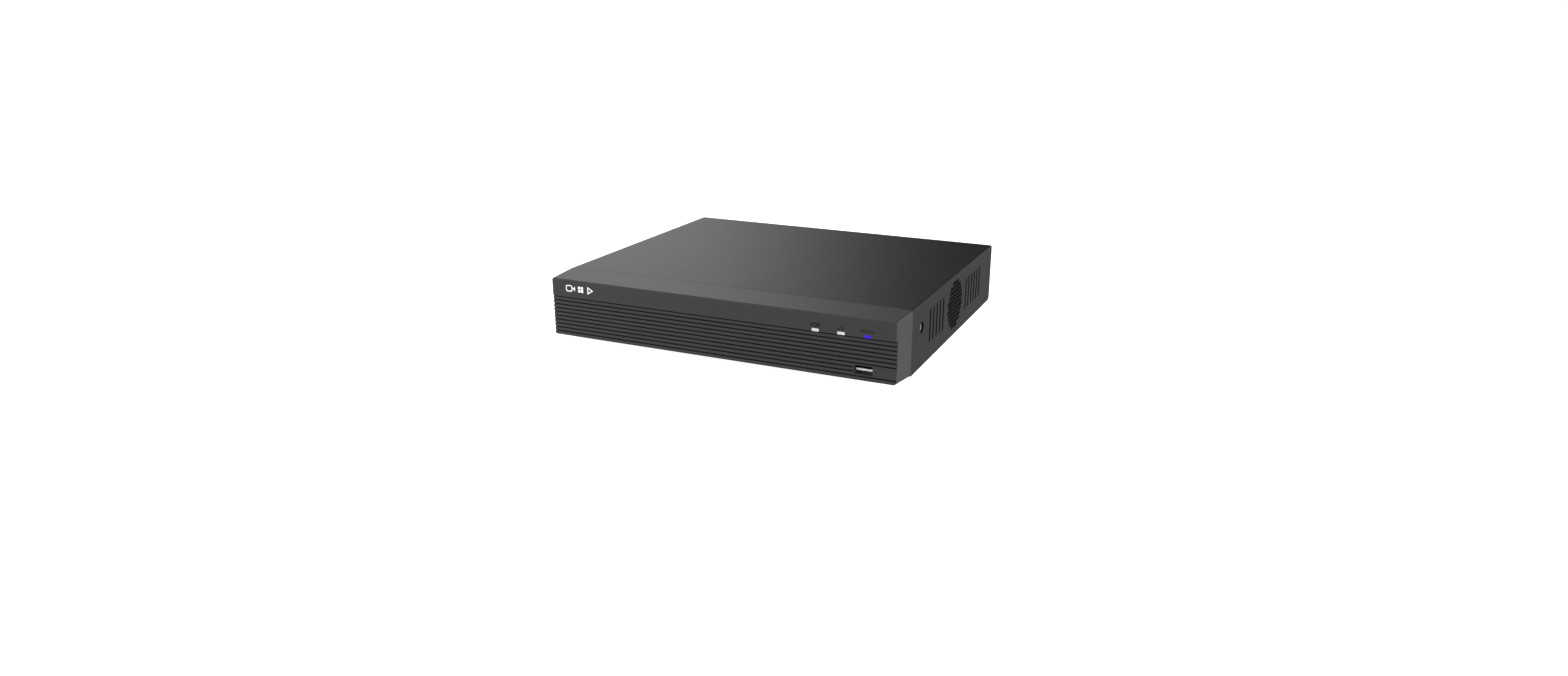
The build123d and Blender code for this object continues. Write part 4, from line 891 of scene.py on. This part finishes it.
def audio_rings():
    """White and red rings that tell the two audio jacks apart."""
    tip = corners("rca_housing")[1].y
    ring = turned([(2.05, 0), (3.2, 0), (3.2, 0.12), (2.05, 0.12), (2.05, 0)], 32)
    for name, finish in (("audio_jack_lower", "data_cable"), ("audio_jack_upper", "socket_plastic")):
        jack = MOUNTS[name]
        band = Piece(f"{name}_ring", finish)
        band.add(ring, on_rear(jack.x, jack.z, tip))
        band.finish()


# ---- main board
def flat_package(piece, x, y, width, depth, legs, pitch=0.65):
    """Flat chip with gull-wing legs on all four sides."""
    body_height = 1.4
    piece.add(block(width, depth, body_height, 0.22), move(x, y, BOARD_TOP + 0.12))
    dimple = turned([(0, 0), (0.45, 0), (0.45, 0.02), (0, 0.02)], 14)
    piece.add(dimple, move(x - width / 2 + 1.3, y - depth / 2 + 1.3, BOARD_TOP + 0.12 + body_height), 2)
    for side in range(4):
        reach = (width if side % 2 else depth) / 2
        for index in range(legs):
            offset = (index - (legs - 1) / 2) * pitch
            piece.add(LEG, on_board(x, y, 90 * side) @ move(offset, -reach, 0), 1)


def small_outline(piece, x, y, width, depth, legs, turn=0):
    """Chip with legs on its two long sides."""
    place = on_board(x, y, turn)
    piece.add(block(width, depth, 1.3, 0.2), place @ move(0, 0, 0.12))
    for side in (0, 180):
        for index in range(legs):
            offset = (index - (legs - 1) / 2) * 1.27
            piece.add(LEG, place @ spin(side) @ move(offset, -depth / 2, 0), 1)


def leg_shape():
    """One gull-wing leg that leaves the package towards -Y."""
    outline = [(0.2, 0.75), (0.2, 0.9), (-0.35, 0.9), (-0.62, 0.16), (-1.05, 0.16), (-1.05, 0.02)]
    outline += [(-0.5, 0.02), (-0.25, 0.75)]
    leg = prism([(y, z) for y, z in outline], 0.28)
    turn = Matrix(((0, 0, 1, -0.14), (1, 0, 0, 0), (0, 1, 0, 0), (0, 0, 0, 1)))
    return Shape([turn @ point for point in leg.points], leg.faces)


LEG = leg_shape()


def board_chips():
    """Video decoders, network transformer, flash memory and regulators around the processor."""
    chips = Piece("board_chips", "chip_package", FINISHES["chip_package"], SOLDER, GREY_INK)
    for x in (-94.0, -68.0):
        flat_package(chips, x, 78.0, 12.0, 12.0, 16)
    small_outline(chips, 45.0, 78.0, 12.6, 7.0, 8)
    small_outline(chips, 108.0, 62.0, 6.5, 6.0, 3, 90)
    for x, y, turn in ((-44, 42, 0), (-44, 56, 90), (48, 46, 0), (68, 84, 90), (-24, 86, 0)):
        small_outline(chips, x, y, 5.0, 4.0, 4, turn)
    chips.finish()


def alarm_relay():
    """Small relay behind the alarm terminals."""
    relay = Piece("alarm_relay", "socket_plastic", FINISHES["socket_plastic"], GREY_INK)
    x = MOUNTS["alarm_terminals"].x
    relay.add(block(15.0, 7.4, 9.6, 0.5), move(x, 87.0, BOARD_TOP + 0.3))
    relay.add(prism(rounded(11.0, 0.5, 0.2), INK), move(x, 88.6, BOARD_TOP + 9.9), 1)
    relay.add(prism(circle(0.6, 0, 0, 14), INK), move(x - 5.4, 85.6, BOARD_TOP + 9.9), 1)
    relay.finish()


def crystals():
    """Oval metal oscillator cans."""
    cans = Piece("crystals", "connector_plating")
    outline = rounded(10.4, 4.2, 2.05)
    rim = rounded(11.2, 4.9, 2.4)
    for x, y, turn in ((-44.0, 66.0, 90), (44.0, 58.0, 0), (-81.0, 66.5, 0)):
        place = on_board(x, y, turn)
        cans.add(prism(rim, 0.45), place)
        cans.add(prism(outline, 3.4), place)
    cans.finish()


def chip_part(piece, x, y, turn, kind):
    """One chip capacitor (0) or resistor (1) with its two soldered ends."""
    place = on_board(x, y, turn)
    piece.add(CHIP_BODIES[kind], place, kind)
    for side in (-1, 1):
        piece.add(CHIP_END, place @ move(side * 0.85, 0, 0), 2)


CHIP_BODIES = (block(1.35, 1.1, 0.95, 0.08), block(1.35, 1.0, 0.5, 0.05))
CHIP_END = block(0.5, 1.2, 0.98, 0.12)


CROSSWISE = (90, 90, 90)
LENGTHWISE = (0, 0, 0)
# where each row starts, its step from part to part, and how its parts lie, three at a time
LOOSE_ROWS = (
    (-108, 60, 3.2, 0, CROSSWISE),
    (46, 42, 3, 0, CROSSWISE),
    (68, 48, 3, 0, CROSSWISE),
    (68, 80, 3, 0, (90, 0, 0)),
    (-50, 33, 3, 0, CROSSWISE),
    (-104, 34, 3, 0, CROSSWISE),
    (108, 68, 0, 2.6, LENGTHWISE),
    (6, 84, 3, 0, CROSSWISE),
    (-84, 37, 3, 0, CROSSWISE),
)


def small_parts():
    """Chip resistors and capacitors: filters at each camera jack, rings round the chips, loose rows."""
    parts = Piece("small_parts", "circuit_board", CERAMIC, RESISTOR, SOLDER)
    draw = random.Random(11)
    for index in range(1, 9):
        jack = MOUNTS[f"camera_jack_{index}"]
        shift = 4.0 if jack.z > 25 else -4.0
        for row in range(3):
            chip_part(parts, jack.x + shift * 0.75, 86.2 - row * 1.9, 0, row % 2)
    sink = centre("processor_heatsink")
    for index in range(12):
        x = sink.x - 16.5 + index * 3.0
        chip_part(parts, x, sink.y - 20.0, 90, index % 2)
        if index not in (5, 6, 7):
            chip_part(parts, x, sink.y + 20.5, 90, (index + 1) % 2)
    for index in range(9):
        y = sink.y - 14 + index * 3.2
        chip_part(parts, sink.x - 20.5, y, 0, index % 2)
        chip_part(parts, sink.x + 20.3, y, 0, 0)
    for x in (-94.0, -68.0):
        for index in range(6):
            chip_part(parts, x - 7.5 + index * 3.0, 67.6 if x < -90 else 68.9, 90, index % 2)
    for index in range(7):
        for x, y, step_x, step_y, turns in LOOSE_ROWS:
            turn = turns[index % 3]
            chip_part(parts, x + index * step_x, y + index * step_y, turn, draw.randrange(2))
    parts.finish()


def board_printing():
    """White outlines and polarity marks on the main board."""
    ink = Piece("board_printing", "circuit_board", WHITE_INK)

    def outline(x, y, points, closed=True):
        Pen(ink, on_board(x, y), 1, 0.22).line(points, closed)

    for node, grow in (("memory_chips", 1.6), ("coin_cell_holder", 1.2), ("processor_heatsink", 1.2)):
        low, high = corners(node)
        middle = centre(node)
        size = high - low
        outline(middle.x, middle.y, rounded(size.x + 2 * grow, size.y + 2 * grow, 1.0))
    for x, y in ((74, 58), (86, 58), (74, 72), (86, 72), (98, 66)):
        outline(x, y, circle(4.8))
        outline(x + 5.9, y + 2.4, [(-0.7, 0), (0.7, 0)], closed=False)
    buzzer = centre("buzzer")
    outline(buzzer.x, buzzer.y, circle(6.8))
    for x, y in ((58, 52), (58, 64), (58, 76), (-40, 76)):
        outline(x, y, rounded(9.2, 9.2, 0.8))
    for x in (-94.0, -68.0):
        outline(x, 78.0, rounded(15.6, 15.6, 0.6))
    ink.finish()


# ---- hard disk
def disk_lid_details():
    """Star-recess lid screws and the plain label of the hard disk."""
    low, high = corners("hdd_lid")
    lid_top = corners("hdd_casting")[1].z + 0.9
    screws = Piece("disk_lid_screws", "zinc_fasteners")
    star = [circle(0.95 if index % 2 else 0.62, steps=12)[index] for index in range(12)]
    head = turned([(0, 0), (2.3, 0), (2.3, 0.25), (2.0, 0.5), (1.15, 0.55), (1.15, 0.4), (0, 0.4)], 24)
    drive = prism(star, 0.3)
    inset = 4.0
    for x in (low.x + inset, high.x - inset, (low.x + high.x) / 2):
        for y in (low.y + inset, high.y - inset):
            screws.add(head, move(x, y, lid_top))
            screws.add(drive, move(x, y, lid_top + 0.12))
    screws.finish()
    label = Piece("disk_label", "disk_lid", LABEL, GREY_INK)
    label_x = high.x - 47.0
    label_y = (low.y + high.y) / 2
    label.add(prism(rounded(58.0, 62.0, 2.0), 0.12), move(label_x, label_y, high.z))
    for index, length in enumerate((44.0, 36.0, 40.0, 22.0, 44.0, 30.0)):
        bar = prism(rounded(length, 1.2, 0.4), INK)
        label.add(bar, move(label_x - 25 + length / 2, label_y + 22 - 8.4 * index, high.z + 0.12), 1)
    label.finish()


# ---- leads
def smooth_route(points):
    """Points along a smooth curve that has the given points as its control points."""
    curve = bpy.data.curves.new("route", "CURVE")
    curve.dimensions = "3D"
    spline = curve.splines.new("NURBS")
    spline.points.add(len(points) - 1)
    for point, place in zip(spline.points, points):
        point.co = (*place, 1.0)
    spline.order_u = 3
    spline.use_endpoint_u = True
    spline.resolution_u = 8
    return shape_of(curve).points


def tie(piece, line, share, radius, material):
    """Cable tie round a bundle at a share of its length."""
    step = int(share * (len(line) - 2)) + 1
    along = (line[step + 1] - line[step - 1]).normalized()
    side = along.cross(Vector((0, 0, 1))).normalized()
    place = plane(*line[step], side, along.cross(side))
    outer = radius + 0.5
    band = turned([(radius, -1.2), (outer, -1.2), (outer, 1.2), (radius, 1.2), (radius, -1.2)], 24)
    piece.add(band, place, material)
    piece.add(block(2.6, 2.2, 3.0, 0.3), place @ move(radius + 1.0, 0, -1.5), material)


LEAD_Z = BOARD_TOP + 3.5
SOCKET_PLUG_Y = 17.0
DISK_PLUG_X = 39.0
DATA_ROUTE = (
    (DISK_PLUG_X, -24.2, LEAD_Z),
    (45, -24.2, LEAD_Z),
    (52, -18, LEAD_Z),
    (52, -8, LEAD_Z),
    (46, 2, LEAD_Z),
    (46, SOCKET_PLUG_Y, LEAD_Z),
)
POWER_ROUTE = (
    (DISK_PLUG_X, -51.2, LEAD_Z),
    (54, -51.2, LEAD_Z),
    (68, -44, LEAD_Z),
    (74, -26, LEAD_Z),
    (70, -6, LEAD_Z),
    (66, 6, LEAD_Z),
    (66, SOCKET_PLUG_Y, LEAD_Z),
)
PANEL_ROUTE = (
    (92, -94.35, 21.3),
    (92, -81.75, 21.3),
    (97, -63.75, 18.3),
    (95, -39.75, 14.3),
    (88, -17.75, 13.3),
    (86, 2.25, LEAD_Z),
    (86, SOCKET_PLUG_Y, LEAD_Z),
)
FAN_ROUTE = (
    (114.4, -6.65, 8.8),
    (107.4, -6.65, 8.8),
    (102, 1.35, LEAD_Z),
    (102, SOCKET_PLUG_Y, LEAD_Z),
)


def bundle(name, route, colours, spread, radius, turns, ties=()):
    """Wires that twist about a route, with black ties given as (share of its length, radius)."""
    lead = Piece(name, "black_leads", *(JACKETS[colour] for colour in colours))
    line = smooth_route(route)
    for index in range(len(colours)):
        wire = []
        for step, point in enumerate(line):
            ahead = line[min(step + 1, len(line) - 1)]
            behind = line[max(step - 1, 0)]
            along = (ahead - behind).normalized()
            side = along.cross(Vector((0, 0, 1))).normalized()
            up = side.cross(along)
            angle = 2 * math.pi * (index / len(colours) + turns * step / len(line))
            wire.append(point + spread * (side * math.cos(angle) + up * math.sin(angle)))
        lead.add(tube(wire, radius), None, index)
    for share, reach in ties:
        tie(lead, line, share, reach, colours.index("black"))
    return lead.finish()


def disk_data_lead():
    """Flat red lead: two round edges joined by a thinner web."""
    lead = Piece("disk_data_lead", "data_cable")
    line = smooth_route(DATA_ROUTE)
    for lift in (-1.7, -0.57, 0.57, 1.7):
        lead.add(tube([point + Vector((0, 0, lift)) for point in line], 0.75, 12))
    made = lead.finish()
    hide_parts("sata_data_cable")


def wire_leads():
    """Disk power, front panel and fan leads."""
    colours = ("yellow", "black", "red", "black")
    made = bundle("disk_power_lead", POWER_ROUTE, colours, 1.15, 0.8, 1.5, ((0.42, 2.0),))
    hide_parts("sata_power_cable")
    colours = ("red", "white", "blue", "yellow", "black", "white")
    made = bundle("panel_lead", PANEL_ROUTE, colours, 1.15, 0.55, 1.0, ((0.3, 1.75), (0.68, 1.75)))
    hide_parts("front_panel_cable")
    made = bundle("fan_wires", FAN_ROUTE, ("red", "black"), 0.6, 0.55, 1.5)
    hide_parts("fan_lead")


# ---- stage
def floor():
    """White sweep under the recorder. Only the camera sees it, so it lights nothing from below."""
    half = 12.0
    mesh = bpy.data.meshes.new("floor")
    ring = [(-half, -half, 0), (half, -half, 0), (half, half, 0), (-half, half, 0)]
    mesh.from_pydata(ring, [], [(0, 1, 2, 3)])
    look = Surface("white_sweep", Roughness=0.8, Emission_Strength=0.86)
    look.colour(look.noise(400, 2), grey(0.84), grey(0.88))
    look.shader.inputs["Emission Color"].default_value = (1, 1, 1, 1)
    mesh.materials.append(look.material)
    made = place_in_scene("floor", mesh)
    made.visible_diffuse = False
    made.visible_glossy = False
    made.visible_transmission = False


def softbox(name, place, target, width, height, radiance):
    """Area light that looks towards target, with the given brightness of its face. It makes no glints."""
    light = bpy.data.lights.new(name, "AREA")
    light.shape = "RECTANGLE"
    light.size = width
    light.size_y = height
    light.energy = radiance * math.pi * width * height
    made = place_in_scene(name, light)
    made.location = place
    made.rotation_euler = (Vector(target) - Vector(place)).to_track_quat("-Z", "Y").to_euler()
    made.visible_camera = False
    made.visible_glossy = False


def studio_world():
    """White to the camera. To everything else, a soft studio with a dark gap low behind the recorder.

    A bright wall stands at the rear left, so the top shades off towards its far right corner.
    """
    world = bpy.data.worlds.new("studio")
    world.use_nodes = True
    tree = Nodes(world.node_tree)
    world.node_tree.nodes.clear()

    def step(value, start, end):
        """Rises smoothly from 0 to 1 as an angle in degrees goes from start to end."""
        return tree.remap(value, 0, 1, math.radians(start), math.radians(end), "SMOOTHSTEP")

    direction = tree.node("ShaderNodeTexCoord").outputs["Generated"]
    along = tree.node("ShaderNodeSeparateXYZ", {"Vector": direction}).outputs
    height = tree.math("ARCSINE", along["Z"])
    leftward = tree.math("ARCTAN2", tree.product(along["X"], -1.0), along["Y"])
    soft = tree.math("MAXIMUM", step(leftward, -6, -18), step(height, 32, 58))
    soft = tree.math("MAXIMUM", soft, step(leftward, 80, 125))
    fading = tree.remap(leftward, 1.0, WALL_FAR, math.radians(26), math.radians(55), "SMOOTHSTEP")
    rising = tree.remap(height, 0.5, 1.0, 0, math.radians(26))
    across = tree.product(step(leftward, 14.5, 35), step(leftward, 125, 80), fading)
    wall = tree.product(across, rising, step(height, 62, 38))
    sky = tree.math("ADD", tree.product(soft, SOFT_LIGHT), tree.product(wall, WALL_LIGHT))
    sky = tree.math("ADD", sky, DIM_LIGHT)
    away = tree.math("MAXIMUM", step(leftward, 5, 60), step(leftward, -60, -100))
    sweep = tree.math("ADD", tree.product(away, SWEEP_AWAY), SWEEP_LIGHT)
    upper = tree.product(sky, step(height, -2.5, 2.5))
    strength = tree.math("ADD", upper, tree.product(sweep, step(height, 2.5, -2.5)))
    around = tree.node("ShaderNodeBackground", {"Strength": strength, "Color": (1, 1, 1, 1)})
    behind = tree.node("ShaderNodeBackground", {"Strength": 1.1, "Color": (1, 1, 1, 1)})
    seen = tree.node("ShaderNodeLightPath").outputs["Is Camera Ray"]
    choose = tree.node("ShaderNodeMixShader", {0: seen, 1: around.outputs[0], 2: behind.outputs[0]})
    tree.node("ShaderNodeOutputWorld", {"Surface": choose.outputs[0]})
    bpy.context.scene.world = world


SOFT_LIGHT = 0.42
WALL_LIGHT = 1.42
WALL_FAR = 0.5  # share of it left at its far left end
DIM_LIGHT = 0.015
SWEEP_LIGHT = 0.18
SWEEP_AWAY = 0.15


def camera():
    """View from the front right, a little above."""
    lens = bpy.data.cameras.new("camera")
    lens.lens = 25.007
    lens.sensor_width = 36.0
    lens.clip_start = 0.01
    lens.clip_end = 60.0
    made = place_in_scene("camera", lens)
    right = (0.9110, 0.4124, 0.0033)
    up = (-0.1300, 0.2796, 0.9513)
    made.matrix_world = plane(0.3273, -0.72935, 0.2434, right, up)
    bpy.context.scene.camera = made


# ---- putting it together
front_function_signs()
light_signs()
socket_contacts()
rear_signs()
network_socket_insides()
display_socket_contacts()
terminal_screws()
power_socket_spring()
audio_rings()
board_chips()
alarm_relay()
crystals()
small_parts()
board_printing()
disk_lid_details()
disk_data_lead()
wire_leads()

floor()
studio_world()
softbox("front_left_key", (-0.78, -0.72, 0.26), (0, -0.1, 0.02), 1.3, 0.5, 9.0)
softbox("right_fill", (0.95, 0.05, 0.14), (0.1, 0, 0.02), 1.1, 0.3, 20.5)
camera()
bpy.context.scene.view_settings.view_transform = "Standard"
